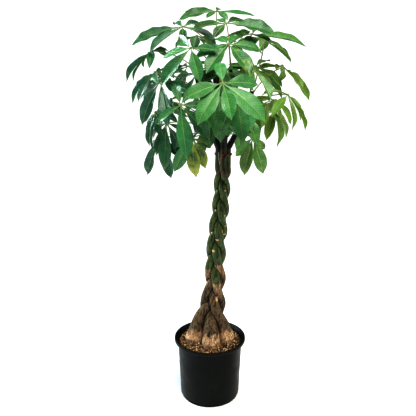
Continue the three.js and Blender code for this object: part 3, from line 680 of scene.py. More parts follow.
def leaf_material(name, dark, light, roughness, specular, relief_way):
    """Leaf skin with a midrib, side veins that rise to the margin, a fine net and yellowing patches."""
    s = Shader(name)
    across, along, _ = s.split(s.attribute("leaf_place", vector=True))
    tone, yellow, cool = s.split(s.attribute("leaf_look", vector=True))
    aside = s.math("ABSOLUTE", across)
    midrib = s.ramp(s.math("DIVIDE", aside, s.ramp(along, 10, 130, 1.5, 0.6)), 0.6, 1.2, 1, 0)
    order = s.math("SUBTRACT", along, s.times(aside, VEIN.rise))
    sided = s.times(s.math("SIGN", across), 0.25)
    order = s.plus(s.math("DIVIDE", order, VEIN.spacing), sided)
    vein = s.ramp(s.math("PINGPONG", order, 0.5), 0.03, 0.11, 1, 0)
    where = s.node("CombineXYZ", {0: across, 1: along, 2: s.times(tone, 50)}).outputs[0]
    net = s.node("TexVoronoi", {"Vector": where, "Scale": 0.55}, feature="DISTANCE_TO_EDGE").outputs[0]
    net = s.ramp(net, 0.02, 0.16, 1, 0)
    blotch = s.noise(0.045, 3, 0.55, vector=where)
    speck = s.noise(0.35, 3, 0.6, vector=where)
    # The tone carries painted light at the top, front and right of the crown and painted shade inside it.
    # The cool and warm tints below are painted cool light and painted warm light.
    colour = s.mix(s.plus(tone, s.ramp(blotch, 0.3, 0.7, -0.18, 0.18), clamp=True), dark, light)
    for share, most, tint in (
        (net, 0.1, LEAF_TINTS.net), (vein, 0.38, LEAF_TINTS.vein), (cool, 0.7, LEAF_TINTS.cool),
        (cool, -0.64, LEAF_TINTS.warm),
    ):
        colour = s.mix(s.times(share, most, clamp=True), colour, tint)
    colour = s.tint(colour, LEAF_TINTS.pale, blotch, 0.5, 0.75, 0.22)
    turned = s.plus(yellow, s.ramp(blotch, 0.35, 0.75, -0.24, 0.24))
    turned = s.plus(turned, s.ramp(speck, 0.3, 0.7, -0.12, 0.12))
    colour = s.tint(colour, LEAF_TINTS.yellow, turned, 0.35, 0.9)
    colour = s.tint(colour, LEAF_TINTS.dry, turned, 1.05, 1.2)
    colour = s.mix(s.times(midrib, 0.5), colour, LEAF_TINTS.midrib)
    relief = s.plus(s.times(vein, 0.5), s.times(net, 0.2))
    relief = s.plus(relief, s.times(speck, 0.15))
    normal = s.bump(relief, 0.0005 * relief_way, 0.8)
    skin = s.surface(colour, s.ramp(speck, 0.3, 0.7, *roughness), normal, Specular_IOR_Level=specular)
    through = s.mix(0.35, colour, LEAF_TINTS.through)
    glow = s.node("BsdfTranslucent", {"Color": through, "Normal": normal}).outputs[0]
    return s.finish(s.node("MixShader", {0: LEAF_GLOW, 1: skin, 2: glow}).outputs[0])


def stalk_material():
    s = Shader("petiole")
    colour = s.tint("#4f6a30", "#93905c", s.noise(60, 3), 0.3, 0.7)
    return s.finish(s.surface(colour, 0.45, s.bump(s.noise(700, 2), 0.0003)))


POT_SKIN = pot_material()
BARK = bark_material()
COMPOST = grain_material("compost", "#241509", "#6b4524", (0.35, 0.65), (260, 6, 0.7), 0.95, 0.003)
CHIPS = chip_material()
PERLITE = grain_material("perlite", "#fff3df", "#e0cfb0", (0.4, 0.7), (700, 4, 0.6), 0.85, 0.0006)
TWINE = twine_material()
PALE_TAPE = grain_material("pale_tape", "#6f7f6c", "#b4bfae", (0.35, 0.65), (200, 3), 0.6)
LEAF_TOP = leaf_material("leaf_upper_side", "#062c1d", "#4a9d5a", (0.26, 0.38), 0.5, -1)
LEAF_UNDER = leaf_material("leaf_underside", "#2b6536", "#69a05f", (0.55, 0.65), 0.2, 1)
STALK = stalk_material()

# ---- trunks ----
# The last rings of a trunk's rounded tip are given by how far below its top they lie.
TRUNK_MESH = Sizes(step=2.5, sides=40, softness=10, tip=(4, 1.5, 0), tip_shares=(0.8, 0.4), sideways=0.05)
GREEN_FROM = (458, 498, 506, 500, 526)  # the height where each trunk's brown bark gives way to green
# Heights between which the bark changes, how ragged each edge is, and the grain of edges and patches.
# Green and mottled bark are measured from the trunk's own height in GREEN_FROM.
BANDS = Sizes(
    skin=(238, 292), skin_ragged=18, cork=(400, 520), green=(-4, 5), green_ragged=4, mottled=(-85, -20),
    mottled_ragged=14, mottled_share=0.44, brown=(820, 860), brown_share=0.9,
    shaded=((780, 880, 0.13), (915, 950, 0.2)), edge_size=(16, 16, 10), patch_size=(14, 14, 30), patch=0.3,
)
# How far lumps, flakes and scars stand out of the bark in millimetres. Flakes are more on the lower bark
# and on tan skin, and all relief is less on stems under the thin radius and in the shade.
RELIEF = Sizes(
    lump_size=(18, 18, 26), lumps=0.5, flake_size=(4.5, 4.5, 11), flakes=0.2, more_flakes=0.9,
    off_skin=0.4, scars=0.8, thin=8, shaded=0.7,
)
# Scars seen from the front: [x, height, half-width, half-height]
FRONT_SCARS = [
    (51, 795, 4, 3), (19, 722, 4, 3.5), (51, 705, 3, 3.5), (56, 665, 7, 2.2), (50, 632, 7, 3),
    (6, 640, 2.5, 4), (43, 648, 2.2, 4.5), (25, 620, 7, 3), (12, 578, 5, 5), (25, 398, 6, 10),
]
# The others, up each trunk's back, where its radius is taken as girth
BACK_SCARS = Sizes(
    first=520, first_varies=30, every=140, varies=0.3, wide=9, wider=3, high=2.8, below_top=60, girth=14,
)
# Where a scar's edge fades, as shares of its size, and how far before a trunk's middle front ones lie
SCAR = Sizes(edge=(0.6, 1.15), front=2)


def pressed_reach(centres, trunk, directions):
    """Half of the way to each neighbour, seen from the trunk's centre, as levels x directions x others."""
    apart = np.delete(centres, trunk, 0) - centres[trunk]
    distance = np.linalg.norm(apart, axis=-1).T[:, None, :]
    facing = np.einsum("olk,dk->ldo", apart, directions) / distance
    limit = (distance / 2 - PRESSED_GAP) / np.maximum(facing, TRUNK_MESH.sideways)
    return np.where(facing > TRUNK_MESH.sideways, limit, np.inf)


def trunk_grid(trunk, heights):
    """Level rings that are round where they are free, and flattened where another trunk presses."""
    centres = np.array([trunk_centre(other, heights)[:, :2] for other in range(TRUNKS)])
    slope = (trunk_centre(trunk, heights + 1) - trunk_centre(trunk, heights - 1))[:, :2] / 2
    slant = np.linalg.norm(slope, axis=1)[:, None]
    directions = circle(TRUNK_MESH.sides, 0.5)
    along = slope @ directions.T / np.maximum(slant, 1e-6)
    round_reach = profile(TRUNK_RADIUS, heights)[:, None] * (1 + (np.hypot(1, slant) - 1) * along**2)
    tops = np.array([TOPS[other][2] for other in range(TRUNKS) if other != trunk])
    pressed = np.where(heights[:, None, None] > tops, np.inf, pressed_reach(centres, trunk, directions))
    k = TRUNK_MESH.softness
    reach = (round_reach**-k + (pressed**-k).sum(-1)) ** (-1 / k)
    return centres[trunk], directions, reach, round_reach


def bark_bands(trunk, points):
    """How green and how tan the bark is at each point, from 0 to 1."""
    z = points[:, 2]
    edge = noise_at(points, BANDS.edge_size, trunk + 4)
    above = z - GREEN_FROM[trunk]
    green = smooth(*BANDS.green, above + BANDS.green_ragged * edge)
    mottled = smooth(*BANDS.mottled, above + BANDS.mottled_ragged * edge) * (1 - green)
    tan = np.maximum(1 - smooth(*BANDS.skin, z + BANDS.skin_ragged * edge), BANDS.mottled_share * mottled)
    patches = smooth(0, BANDS.patch, noise_at(points, BANDS.patch_size, trunk + 6))
    brown = patches * smooth(*BANDS.brown, z)
    return green * (1 - BANDS.brown_share * brown), tan


def scars(trunk, points, centre):
    """Where the scars of fallen leaves are, from 0 to 1: those seen from the front, and others behind."""
    from_centre = points[:, :2] - np.repeat(centre, TRUNK_MESH.sides, axis=0)
    front = from_centre[:, 1] < -SCAR.front
    marks = np.zeros(len(points))
    for x, z, wide, high in FRONT_SCARS:
        away = np.hypot((points[:, 0] - x) / wide, (points[:, 2] - z) / high)
        marks = np.maximum(marks, front * (1 - smooth(*SCAR.edge, away)))
    around = np.arctan2(from_centre[:, 1], from_centre[:, 0])
    random = draws(SEED + 40 + trunk)
    z = BACK_SCARS.first + BACK_SCARS.first_varies * next(random)
    while z < TOPS[trunk][2] - BACK_SCARS.below_top:
        facing = math.pi * next(random)
        turned = np.abs((around - facing + math.pi) % (2 * math.pi) - math.pi) * BACK_SCARS.girth
        wide = BACK_SCARS.wide + BACK_SCARS.wider * next(random)
        if facing > 0:
            away = np.hypot(turned / wide, (points[:, 2] - z) / BACK_SCARS.high)
            marks = np.maximum(marks, 1 - smooth(*SCAR.edge, away))
        z += BACK_SCARS.every * (1 + BACK_SCARS.varies * next(random))
    return marks


def trunk_piece(trunk):
    top = TOPS[trunk][2]
    tip = top - np.array(TRUNK_MESH.tip)
    heights = np.append(np.arange(BULB_END, tip[0] - 2, TRUNK_MESH.step), tip)
    centre, directions, reach, round_reach = trunk_grid(trunk, heights)
    reach[-len(TRUNK_MESH.tip_shares):] *= np.array(TRUNK_MESH.tip_shares)[:, None]
    points = np.dstack([
        centre[:, None] + directions * reach[..., None], np.broadcast_to(heights[:, None], reach.shape),
    ]).reshape(-1, 3)
    z = points[:, 2]
    green, tan = bark_bands(trunk, points)
    scar = scars(trunk, points, centre)
    shade = (np.clip(1 - reach / round_reach, 0, 0.5) * 2).ravel()
    shade = np.maximum(shade, sum(share * smooth(low, high, z) for low, high, share in BANDS.shaded))
    lumps = noise_at(points, RELIEF.lump_size, trunk)
    flakes = noise_at(points, RELIEF.flake_size, trunk + 9)
    flaky = RELIEF.more_flakes * (1 - smooth(*BANDS.cork, z)) + RELIEF.flakes
    flaky *= mix(RELIEF.off_skin, 1, tan)
    relief = RELIEF.lumps * lumps + flaky * flakes + RELIEF.scars * scar
    thin = np.repeat(np.clip(reach.mean(1) / RELIEF.thin, 0, 1), TRUNK_MESH.sides)
    relief *= thin * (1 - RELIEF.shaded * shade)
    points[:, :2] += np.tile(directions, (len(heights), 1)) * relief[:, None]
    skins = Skins().add(
        points, loft_faces(len(heights), TRUNK_MESH.sides), green=green, tan=tan, scar=scar, shade=shade,
    )
    skins.piece(f"trunk_bark_{trunk + 1}", [BARK], "bark", f"trunk_{trunk + 1}", sharp_angle=70)


for trunk in range(TRUNKS):
    trunk_piece(trunk)

# ---- pot ----
LIP_BOTTOM = POT.height - POT.lip_height
# The mesh's sides, how far corners are rounded, and the small steps of the foot and the lip
POT_MESH = Sizes(
    sides=160, corner=2.2, hole_sides=24, foot_step=2.5, tuck=3, bevel=2.5, drop=0.5, rise=2,
    scuff=0.12, rim_scuff=0.7, most_of_side=1 / 2.2,
)


def wall_radius(z):
    return mix(POT.base_radius, POT.top_radius, z / LIP_BOTTOM)


def rounded(points, radius, steps=4):
    """The outline with every corner turned into an arc of short steps, as far as the sides allow."""
    points = np.asarray(points, float)
    out = [points[0]]
    for before, corner, after in zip(points, points[1:], points[2:]):
        sides = np.linalg.norm([before - corner, after - corner], axis=1)
        reach = min(radius, *sides * POT_MESH.most_of_side)
        ends = corner + unit(before - corner) * reach, corner, corner + unit(after - corner) * reach
        out.extend(bezier(ends, np.linspace(0, 1, steps + 1)))
    return np.array(out + [points[-1]])


def lathe(outline, sides):
    """A closed skin round the Z axis from an outline of [radius, z] that starts and ends on the axis."""
    inner = outline[1:-1]
    rings = [with_column(r * circle(sides), z) for r, z in inner]
    points = np.vstack(rings + [[[0, 0, outline[0][1]], [0, 0, outline[-1][1]]]])
    faces = loft_faces(len(inner), sides, caps=False)
    low, high = len(points) - 2, len(points) - 1
    last = (len(inner) - 1) * sides
    for j in range(sides):
        k = (j + 1) % sides
        faces += [(low, k, j), (high, last + j, last + k)]
    return points, faces


def pot_piece():
    foot_top = POT.foot_height + POT_MESH.foot_step
    tuck, inner_foot = LIP_BOTTOM - POT_MESH.tuck, POT.foot_radius - POT.wall
    outline = rounded([
        (0, 0), (POT.foot_radius, 0), (POT.foot_radius, POT.foot_height),
        (wall_radius(POT.foot_height), foot_top), (wall_radius(tuck), tuck),
        (wall_radius(LIP_BOTTOM) + POT_MESH.tuck, LIP_BOTTOM),
        (POT.rim_radius - POT_MESH.bevel, LIP_BOTTOM - POT_MESH.drop),
        (POT.rim_radius, LIP_BOTTOM + POT_MESH.rise), (POT.rim_radius - POT_MESH.drop, POT.height),
        (POT.rim_radius - POT.rim_width, POT.height), (wall_radius(LIP_BOTTOM) - POT.wall, LIP_BOTTOM),
        (inner_foot, POT.foot_height + POT.floor), (inner_foot - POT.floor, POT.floor), (0, POT.floor),
    ], POT_MESH.corner)
    points, faces = lathe(outline, POT_MESH.sides)
    on_rim = np.hypot(points[:, 0], points[:, 1]) > POT.rim_radius - 2
    skins = Skins().add(points, faces, scuff=np.where(on_rim, POT_MESH.rim_scuff, POT_MESH.scuff))
    pot = skins.piece("nursery_pot", [POT_SKIN], "pot", "pot", sharp_angle=40)
    for centre in POT.drain_circle * circle(POT.drain_holes):
        cut_hole(pot, centre)


def cut_hole(pot, centre):
    """A round drainage hole through the pot's floor."""
    ring = centre + POT.drain_radius * circle(POT_MESH.hole_sides)
    ends = [with_column(ring, z) for z in (-POT.floor, 2 * POT.floor)]
    cutter = add_mesh("hole", np.vstack(ends) * MM, loft_faces(2, len(ring)))
    modifier = pot.modifiers.new("cut", "BOOLEAN")
    modifier.object = cutter
    modifier.solver = "MANIFOLD"
    bpy.context.view_layer.objects.active = pot
    bpy.ops.object.modifier_apply(modifier="cut")
    bpy.data.objects.remove(cutter)


pot_piece()

# ---- compost ----
# Relief is in rows of height, size and seed.
BED = Sizes(sides=120, rings=42, edge_drop=4, relief=((2.2, 11, 3), (1.2, 4, 5)), sunk=1)
MULCH = Sizes(chips=1100, perlite=60, pale=0.12, reach=113, edge=112, spread=(0.03, 0.93))
CHIP = Sizes(
    corners=7, size=(2.2, 6), thick=(1.4, 3), uneven=0.35, narrow=(0.35, 0.7), tilt=38, raised=(0, 3.5),
    broken=(0.75, 1.1), low=0.92, high=(0.75, 1), rough=0.25, brown=(0, 0.6), pale=(0.8, 1),
)
BEAD = Sizes(radius=(1.2, 2.6), rings=6, sides=8, uneven=(0.8, 1.15), raised=(2, 4.5), ends=0.9)


def bed_height(x, y):
    return SOIL.level + SOIL.crown * (1 - smooth(SOIL.crown_radius - 20, MULCH.edge, np.hypot(x, y)))


def clear_of_trunks(x, y, margin):
    centres = (trunk_centre(trunk, SOIL.level + 3) for trunk in range(TRUNKS))
    clear = profile(TRUNK_RADIUS, SOIL.level) + margin
    return all(math.hypot(x - centre[0], y - centre[1]) >= clear for centre in centres)


def compost_piece():
    bend = POT.floor + POT.foot_height
    foot = POT.foot_radius - POT.wall

    def inside(z):
        top = wall_radius(LIP_BOTTOM) - POT.wall
        return mix(foot, top, (z - bend) / (LIP_BOTTOM - bend)) - SOIL.gap

    edge = SOIL.level - BED.edge_drop
    outline = [
        (0, POT.floor + SOIL.gap), (foot - POT.floor - 1, POT.floor + SOIL.gap), (foot - 1, bend),
        (inside(edge), edge),
        *((r, bed_height(r, 0)) for r in np.linspace(inside(SOIL.level) - 2, 2, BED.rings)),
        (0, SOIL.level + SOIL.crown),
    ]
    points, faces = lathe(outline, BED.sides)
    rough = sum(high * noise_at(points, size, seed) for high, size, seed in BED.relief)
    on_top = (points[:, 2] > SOIL.level - 1) & (np.hypot(points[:, 0], points[:, 1]) < MULCH.reach)
    points[:, 2] += np.where(on_top, rough - BED.sunk, 0)
    Skins().add(points, faces).piece("compost_bed", [COMPOST], "compost", "soil")


def chip(random):
    """A flat flake of bark with a broken outline, about the origin."""
    size, thick, count = random.uniform(*CHIP.size), random.uniform(*CHIP.thick), CHIP.corners
    angles = (np.arange(count) + CHIP.uneven * random.uniform(-1, 1, count)) / count * 2 * math.pi
    reach = random.uniform(*CHIP.broken, count) * size
    narrow = random.uniform(*CHIP.narrow)
    ring = np.column_stack([np.cos(angles) * reach, np.sin(angles) * reach * narrow])
    low = with_column(ring * CHIP.low, -thick / 2)
    high = with_column(ring * random.uniform(*CHIP.high), thick / 2)
    high[:, 2] += random.uniform(-CHIP.rough, CHIP.rough, count) * thick
    return np.vstack([low, high]), loft_faces(2, count)


def tumbled(points, random):
    """The points turned by any angle in plan, then tilted any way by up to the chips' tilt."""
    spin = random.uniform(0, 2 * math.pi)
    lean = math.radians(random.uniform(0, CHIP.tilt))
    way = random.uniform(0, 2 * math.pi)
    axis = Vector((math.cos(way), math.sin(way), 0))
    return points @ np.array(Matrix.Rotation(lean, 3, axis) @ Matrix.Rotation(spin, 3, "Z")).T


def bead(random):
    """A rough ball of perlite about the origin."""
    radius = random.uniform(*BEAD.radius)
    rings = []
    for level in np.linspace(-BEAD.ends, BEAD.ends, BEAD.rings):
        reach = radius * math.sqrt(1 - level**2) * random.uniform(*BEAD.uneven, BEAD.sides)
        rings.append(with_column(reach[:, None] * circle(BEAD.sides), radius * level))
    return np.vstack(rings), loft_faces(BEAD.rings, BEAD.sides)


def scatter(count, random, margin):
    """Places on the bed, clear of the trunks and of the pot's wall."""
    while count:
        angle = random.uniform(0, 2 * math.pi)
        r = MULCH.reach * math.sqrt(random.uniform(*MULCH.spread))
        x, y = r * math.cos(angle), r * math.sin(angle)
        if clear_of_trunks(x, y, margin):
            count -= 1
            yield np.array([x, y, bed_height(x, y)])


def mulch_pieces():
    random = np.random.default_rng(SEED)
    chips, beads = Skins(), Skins()
    for place in scatter(MULCH.chips, random, 1):
        points, faces = chip(random)
        pale = random.uniform(0, 1) < MULCH.pale
        tone = random.uniform(*(CHIP.pale if pale else CHIP.brown))
        place[2] += random.uniform(*CHIP.raised)
        chips.add(tumbled(points, random) + place, faces, tone=tone)
    for place in scatter(MULCH.perlite, random, 2):
        points, faces = bead(random)
        place[2] += random.uniform(*BEAD.raised)
        beads.add(points + place, faces)
    chips.piece("bark_chips", [CHIPS], "compost", sharp_angle=30)
    beads.piece("perlite_beads", [PERLITE], "compost")


compost_piece()
mulch_pieces()

# ---- tie ----
TIE = Sizes(
    turns=2, pitch=3.6, ply=0.95, lay=0.9, twist=8, step=1.2, sides=8, around=36, loop=240, ways=720,
)
KNOT = Sizes(
    forward=2.5, turns=1.4, wide=4, high=5.5, deep=1.5, ends=((-1, 26), (1, 17)), start=2, spread=7,
    spread_bend=0.7, drop_bend=1.5, middle=0.15,
)
TAPE = Sizes(x=28, width=2.4, thick=0.5, off=3.4, above=9, length=46, drift=5, belly=1.5, steps=16)


def hull(points):
    """The convex outline of points in plan, counterclockwise."""
    points = [np.array(p) for p in sorted(map(tuple, points))]
    lines = []
    for way in (points, points[::-1]):
        line = []
        for p in way:
            while len(line) > 1 and np.cross(line[-1] - line[-2], p - line[-2]) <= 0:
                line.pop()
            line.append(p)
        lines += line[:-1]
    return np.array(lines)


def round_trunks(height, out):
    """A taut loop round the five trunks at a height, a little outside them, in even steps."""
    rims = []
    for trunk in range(TRUNKS):
        centre, directions, reach, _ = trunk_grid(trunk, np.array([float(height)]))
        rims.append(centre[0] + directions * reach[0][:, None])
    outline = hull(np.vstack(rims))
    ways = circle(TIE.ways)
    loop = outline[np.argmax(ways @ outline.T, axis=1)] + ways * out
    loop = np.vstack([loop, loop[:1]])
    return along_path(loop, np.arange(TIE.loop) / TIE.loop * path_length(loop)[-1])


def twist_plies(skins, path):
    """Two plies of twine laid round each other along a path."""
    at = np.arange(0, path_length(path)[-1], TIE.step)
    around = tube_rings(along_path(path, at), TIE.lay, TIE.around)
    for ply in (0, 1):
        turn = np.round((at / TIE.twist + ply / 2) * TIE.around).astype(int) % TIE.around
        rings = tube_rings(around[np.arange(len(at)), turn], TIE.ply, TIE.sides)
        skins.add(rings, loft_faces(len(rings), TIE.sides))


def hang_tape(skins, loop):
    """A thin pale end of tape that hangs from the tie's front."""
    front = loop[loop[:, 1] < 0]
    x, y = front[np.argmin(np.abs(front[:, 0] - TAPE.x))]
    t = np.linspace(0, 1, TAPE.steps)
    middle = np.column_stack([
        x + TAPE.drift * t**2, y - TAPE.off - TAPE.belly * np.sin(math.pi * t),
        TIE_HEIGHT + TAPE.above - TAPE.length * t,
    ])
    corners = np.array([(-0.5, 0, 0), (0.5, 0, 0), (0.5, 1, 0), (-0.5, 1, 0)]) * (TAPE.width, TAPE.thick, 0)
    skins.add(middle[:, None] + corners, loft_faces(TAPE.steps, len(corners)), 1)


def tie_piece():
    loop = round_trunks(TIE_HEIGHT, TIE.ply + TIE.lay)
    # The loop starts at the knot, which is in front and near the middle.
    front = int(np.argmin(loop[:, 1] + KNOT.middle * np.abs(loop[:, 0] - profile(LEAN, TIE_HEIGHT))))
    loop = np.roll(loop, -front, axis=0)
    around = np.vstack([loop] * TIE.turns)
    climb = (np.arange(len(around)) / len(around) - 0.5) * TIE.pitch * TIE.turns
    skins = Skins()
    twist_plies(skins, np.column_stack([around, TIE_HEIGHT + climb]))
    knot = np.append(loop[0], TIE_HEIGHT) - (0, KNOT.forward, 0)
    angle = np.linspace(0, 2 * math.pi * KNOT.turns, 60)
    twist_plies(skins, knot + np.column_stack([
        KNOT.wide * np.cos(angle), KNOT.deep * (np.sin(2 * angle) - 1), KNOT.high * np.sin(angle),
    ]))
    t = np.linspace(0, 1, 24)
    for side, drop in KNOT.ends:
        twist_plies(skins, knot + np.column_stack([
            side * (KNOT.start + KNOT.spread * t**KNOT.spread_bend), -1 - KNOT.deep * t,
            -drop * t**KNOT.drop_bend,
        ]))
    hang_tape(skins, loop)
    skins.piece("twine_tie", [TWINE, PALE_TAPE], "cord", "tie")


tie_piece()

# ---- leaves ----
# Widths, folds and curls are shares of the leaflet's own size, and the outer ones are added out at the
# sides. The rest is in millimetres. Ranges are drawn from.
BLADE = Sizes(
    steps=40, width=0.40, outer_width=-0.36, stalk=1.5, tip=0.35, thin=0.55, rib=1.5, rib_width=1.6,
    fold=(0.24, 0.6), outer_fold=0.35, curl=(0.08, 0.32), wave=(0.5, 2.2), wave_length=(38, 60), quilt=0.32,
    tip_drop=9, tip_from=(0.7, 1.05), sweep=0.06, rib_taper=1.15, shift=0.9, rise=(0.02, 0.2),
    fall=(1.02, 0.9),
    across=np.array([-1, -0.84, -0.64, -0.42, -0.22, -0.07, 0, 0.07, 0.22, 0.42, 0.64, 0.84, 1]),
)
# A leaflet's outline: where it starts and is widest, its roundness at the foot and beyond, and its tip
FINE = Sizes(start=0.035, widest=1.25, round=(1.2, 0.82), round_to=0.6, tip=(0.86, 0.97), tip_thin=0.35)
STALK_MESH = Sizes(
    radius=1.8, taper=(1.15, 0.9), swelling=1.3, swellings=(0.05, 0.04), hub_share=0.8, steps=30, sides=10,
    inside=0.6, fine=80,
)
HUB_MESH = Sizes(radius=4.2, flat=0.6, levels=9, sides=14, ends=0.96)
# The places in the crown where leaflets look different, each from where it starts to where it is full:
# painted light at the top and front, painted shade inside, painted cool light on the left, painted warm
# light and more yellowing on the right, and more yellowing low down
CROWN_PARTS = Sizes(
    inner=(200, 90), top=(1120, 1340), front=(-60, -260), right=(60, 240), left=(20, -180),
    low=(1140, 1000),
)
# A leaflet's tone: plain, with painted light at the top, front and right, painted shade inside the crown,
# and a random share.
TONE_AND_PAINTED_LIGHT = Sizes(plain=0.36, top=0.26, front=0.28, inner=-0.2, right=0.1, varies=0.26)
# A leaflet's coolness: painted cool light on the left, painted warm light on the right as coolness below
# zero, and a random share.
PAINTED_COOL_AND_WARM_LIGHT = Sizes(left=0.8, right=-0.7, varies=0.1)
# Yellowing of a leaflet, and how it grows from foot to tip
YELLOW = Sizes(plain=0.02, right=0.12, low=0.13, varies=0.14, foot=0.7, more=0.5, grows=(0.25, 1))
# How far leaflets are turning yellow where the photograph shows it, by leaf and leaflet
YELLOWING = {(6, 2): 0.84, (6, 3): 0.8, (6, 4): 0.6, (12, 3): 0.5, (9, 0): 0.4, (5, 2): 0.32}


def fine_outline(t):
    """Half-width along a leaflet, from 0 to 1: a wedge at the foot, round shoulders, a drawn-out tip."""
    s = np.clip((t - FINE.start) / (1 - FINE.start), 0, 1)
    bulge = np.maximum(np.sin(math.pi * s**FINE.widest), 0)
    power = mix(*FINE.round, smooth(0, FINE.round_to, s))
    return bulge**power * (1 - FINE.tip_thin * smooth(*FINE.tip, s))


def blade_look(leaf_number, leaf, blade, random):
    """A leaflet's tone, yellowing and coolness: paler at the top, front and right and darker inside the
    crown by painted light and shade, cooler on the left by painted cool light, and warmer on the right by
    painted warm light.
    """
    x, y, z = leaf.hub
    parts = CROWN_PARTS
    inner = smooth(*parts.inner, math.hypot(x - CROWN_X, y))
    tone = TONE_AND_PAINTED_LIGHT.plain + TONE_AND_PAINTED_LIGHT.top * smooth(*parts.top, z) + TONE_AND_PAINTED_LIGHT.front * smooth(*parts.front, y)
    right = smooth(*parts.right, x)
    tone += TONE_AND_PAINTED_LIGHT.inner * inner + TONE_AND_PAINTED_LIGHT.varies * random.uniform(-1, 1) + TONE_AND_PAINTED_LIGHT.right * right
    cool = PAINTED_COOL_AND_WARM_LIGHT.left * smooth(*parts.left, x) + PAINTED_COOL_AND_WARM_LIGHT.right * right + PAINTED_COOL_AND_WARM_LIGHT.varies * random.uniform(-1, 1)
    plain = YELLOW.plain + YELLOW.right * right + YELLOW.low * smooth(*parts.low, z)
    plain += YELLOW.varies * random.uniform(0, 1)
    return np.array([tone, YELLOWING.get((leaf_number, blade.number), plain), cool])


def blade_lift(blade, fold, half, spread, along, random):
    """How far the upper face stands off the flat: folded up, drooping at the tip, waved and quilted."""
    u, t = BLADE.across, along / blade.length
    side = np.abs(u)
    order = (along - np.abs(spread) * VEIN.rise) / VEIN.spacing + 0.25 * np.sign(u)
    quilt = BLADE.quilt * np.cos(2 * math.pi * order) * side * (1 - side**4)
    phase = random.uniform(0, 2 * math.pi)
    swell = random.uniform(*BLADE.wave)
    wave = 2 * math.pi * along / random.uniform(*BLADE.wave_length) + phase + BLADE.shift * np.sign(u)
    fold += random.uniform(*BLADE.fold)
    bend = half * (fold * side - random.uniform(*BLADE.curl) * side**2)
    bend = bend - BLADE.tip_drop * random.uniform(0, 1) * smooth(*BLADE.tip_from, t)
    taper = smooth(*BLADE.rise, t) * smooth(*BLADE.fall, t)
    return bend + (swell * side**2 * np.sin(wave) - quilt) * taper


def add_blade(skins, leaf, blade, look, random):
    line = blade_line(leaf, blade, BLADE.steps)
    outer = outer_share(leaf)
    width = BLADE.width * (1 + BLADE.outer_width * outer)
    half = np.maximum(blade.length * width * fine_outline(line.t) / 2, BLADE.stalk)[:, None]
    half[-1] = BLADE.tip
    t = line.t[:, None]
    along = t * blade.length
    spread = half * BLADE.across
    lift = blade_lift(blade, BLADE.outer_fold * outer, half, spread, along, random)
    sweep = BLADE.sweep * blade.length * random.uniform(-1, 1) * t**2
    rib = np.exp(-((spread / BLADE.rib_width) ** 2)) * (BLADE.rib_taper - t)
    thick = BLADE.thin + BLADE.rib * rib
    top = line.point[:, None] + line.across[:, None] * (spread + sweep)[..., None]
    top = top + line.up[:, None] * lift[..., None]
    low = top - line.up[:, None] * thick[..., None]
    count = len(BLADE.across)
    row = [0] * (count - 1) + [1] * (count + 1)  # the upper face, then the edges and the underside
    place = np.dstack(np.broadcast_arrays(spread, along, half))
    looks = np.broadcast_to(look, place.shape).copy()
    looks[..., 1] *= YELLOW.foot + YELLOW.more * smooth(*YELLOW.grows, t)

    def both(upper, under):
        """Rings over the upper face and back under the leaflet, as a list of points."""
        return np.concatenate([upper, under[:, ::-1]], axis=1).reshape(-1, 3)

    skins.add(
        both(top, low), loft_faces(len(t), 2 * count), row * BLADE.steps + [1, 1],
        leaf_place=both(place, place), leaf_look=both(looks, looks),
    )


def add_petiole(skins, leaf):
    """The stalk, from inside the trunk to the hub, and the hub as a flattened knob."""
    fine = bezier(leaf.petiole, np.linspace(0, 1, STALK_MESH.fine + 1))
    off_trunk = np.linalg.norm(fine - trunk_centre(leaf.trunk, fine[:, 2]), axis=1)
    inside = off_trunk < profile(TRUNK_RADIUS, fine[:, 2]) * STALK_MESH.inside
    first = int(np.argmin(inside)) / STALK_MESH.fine
    t = np.linspace(first, 1, STALK_MESH.steps)
    at_trunk, at_hub = STALK_MESH.swellings
    ends = np.exp(-((t - first) / at_trunk) ** 2)
    ends += STALK_MESH.hub_share * np.exp(-((1 - t) / at_hub) ** 2)
    radii = STALK_MESH.radius * mix(*STALK_MESH.taper, t) + STALK_MESH.swelling * ends
    rings = tube_rings(bezier(leaf.petiole, t), radii, STALK_MESH.sides)
    plain = np.zeros(3)
    skins.add(rings, loft_faces(len(rings), STALK_MESH.sides), 2, leaf_place=plain, leaf_look=plain)
    normal, forward, side = leaf_axes(leaf)
    ring = circle(HUB_MESH.sides) @ [forward, side]
    knob = [
        leaf.hub + HUB_MESH.radius * (math.sqrt(1 - level**2) * ring + HUB_MESH.flat * level * normal)
        for level in np.linspace(-HUB_MESH.ends, HUB_MESH.ends, HUB_MESH.levels)
    ]
    skins.add(knob, loft_faces(len(knob), HUB_MESH.sides), 2, leaf_place=plain, leaf_look=plain)


def leaf_piece(number, leaf):
    random = np.random.default_rng(SEED + number)
    skins = Skins()
    add_petiole(skins, leaf)
    for blade in leaf.blades:
        add_blade(skins, leaf, blade, blade_look(number, leaf, blade, random), random)
    materials = [LEAF_TOP, LEAF_UNDER, STALK]
    skins.piece(f"foliage_{number:02d}", materials, "leaf", f"leaf_{number:02d}", sharp_angle=60)


for number, leaf in enumerate(LEAVES, 1):
    leaf_piece(number, leaf)

# ---- the stage ----
# The floor brightens from fade[0] to fade[1] metres away, so that it runs into the backdrop.
FLOOR = Sizes(radius=14, drop=0.0004, colour="#f8f9f9", fade=(0.5, 2.5), glow=0.25)
AMBIENT = Sizes(strength=0.09, colour=(0.93, 0.97, 1.0))
BACKDROP = Sizes(strength=1.0, colour=(1, 1, 1))
EXPOSURE = Sizes(stops=0.4, gamma=0.72)
CROWN = (0.04, 0, 1.1)
FOOT = (0, 0, 0)
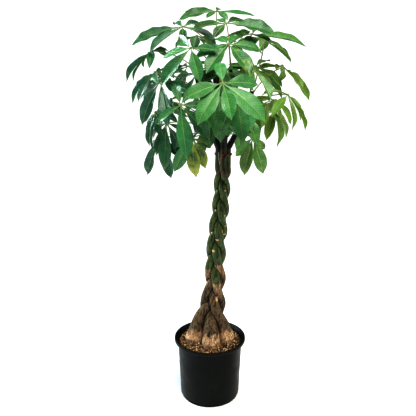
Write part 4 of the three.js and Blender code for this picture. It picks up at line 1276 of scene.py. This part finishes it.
# name, kind, place, target, size (metres, or degrees for a sun), power (watts, or a sun's strength), colour
LIGHTS = [
    ("overhead", "SUN", (0.5, -1.0, 2.9), FOOT, 30, 2.1, (1.0, 0.985, 0.95)),
    ("window", "AREA", (-2.2, 0.9, 1.9), CROWN, 0.9, 100, (0.82, 0.92, 1.0)),
    ("front", "AREA", (0.5, -1.7, 2.9), CROWN, 0.7, 38, (1.0, 0.96, 0.88)),
    ("warm", "AREA", (2.4, 0.6, 1.7), CROWN, 1.2, 11, (1.0, 0.86, 0.55)),
]


def add_floor():
    ring = with_column(FLOOR.radius * circle(96), -FLOOR.drop)
    floor = add_mesh("floor", ring, [tuple(range(len(ring)))])
    s = Shader("pale_floor")
    x, y, _ = s.split(s.place())
    away = s.math("SQRT", s.plus(s.times(x, x), s.times(y, y)))
    floor.data.materials.append(s.finish(s.surface(
        FLOOR.colour, 1.0, Specular_IOR_Level=0.0, Emission_Color="#ffffff",
        Emission_Strength=s.ramp(away, *FLOOR.fade, 0, FLOOR.glow),
    )))


def add_light(name, kind, place, target, size, power, colour):
    data = bpy.data.lights.new(name, kind)
    if kind == "AREA":
        data.shape = "DISK"
        data.size = size
    else:
        data.angle = math.radians(size)
    data.energy = power
    data.color = colour
    light = add_object(name, data)
    light.location = place
    light.rotation_euler = (Vector(target) - Vector(place)).to_track_quat("-Z", "Y").to_euler()


def add_world():
    """A pale backdrop that lights the plant with less than the camera sees of it."""
    s = Shader("studio", world=True)
    shown = [
        s.node("Background", {"Color": (*part.colour, 1), "Strength": part.strength}).outputs[0]
        for part in (AMBIENT, BACKDROP)
    ]
    seen = s.node("LightPath").outputs["Is Camera Ray"]
    mixed = s.node("MixShader", {0: seen, 1: shown[0], 2: shown[1]}).outputs[0]
    bpy.context.scene.world = s.finish(mixed)


add_floor()
add_world()
for row in LIGHTS:
    add_light(*row)
view = bpy.context.scene.view_settings
view.view_transform = "Standard"
view.exposure = EXPOSURE.stops
view.gamma = EXPOSURE.gamma
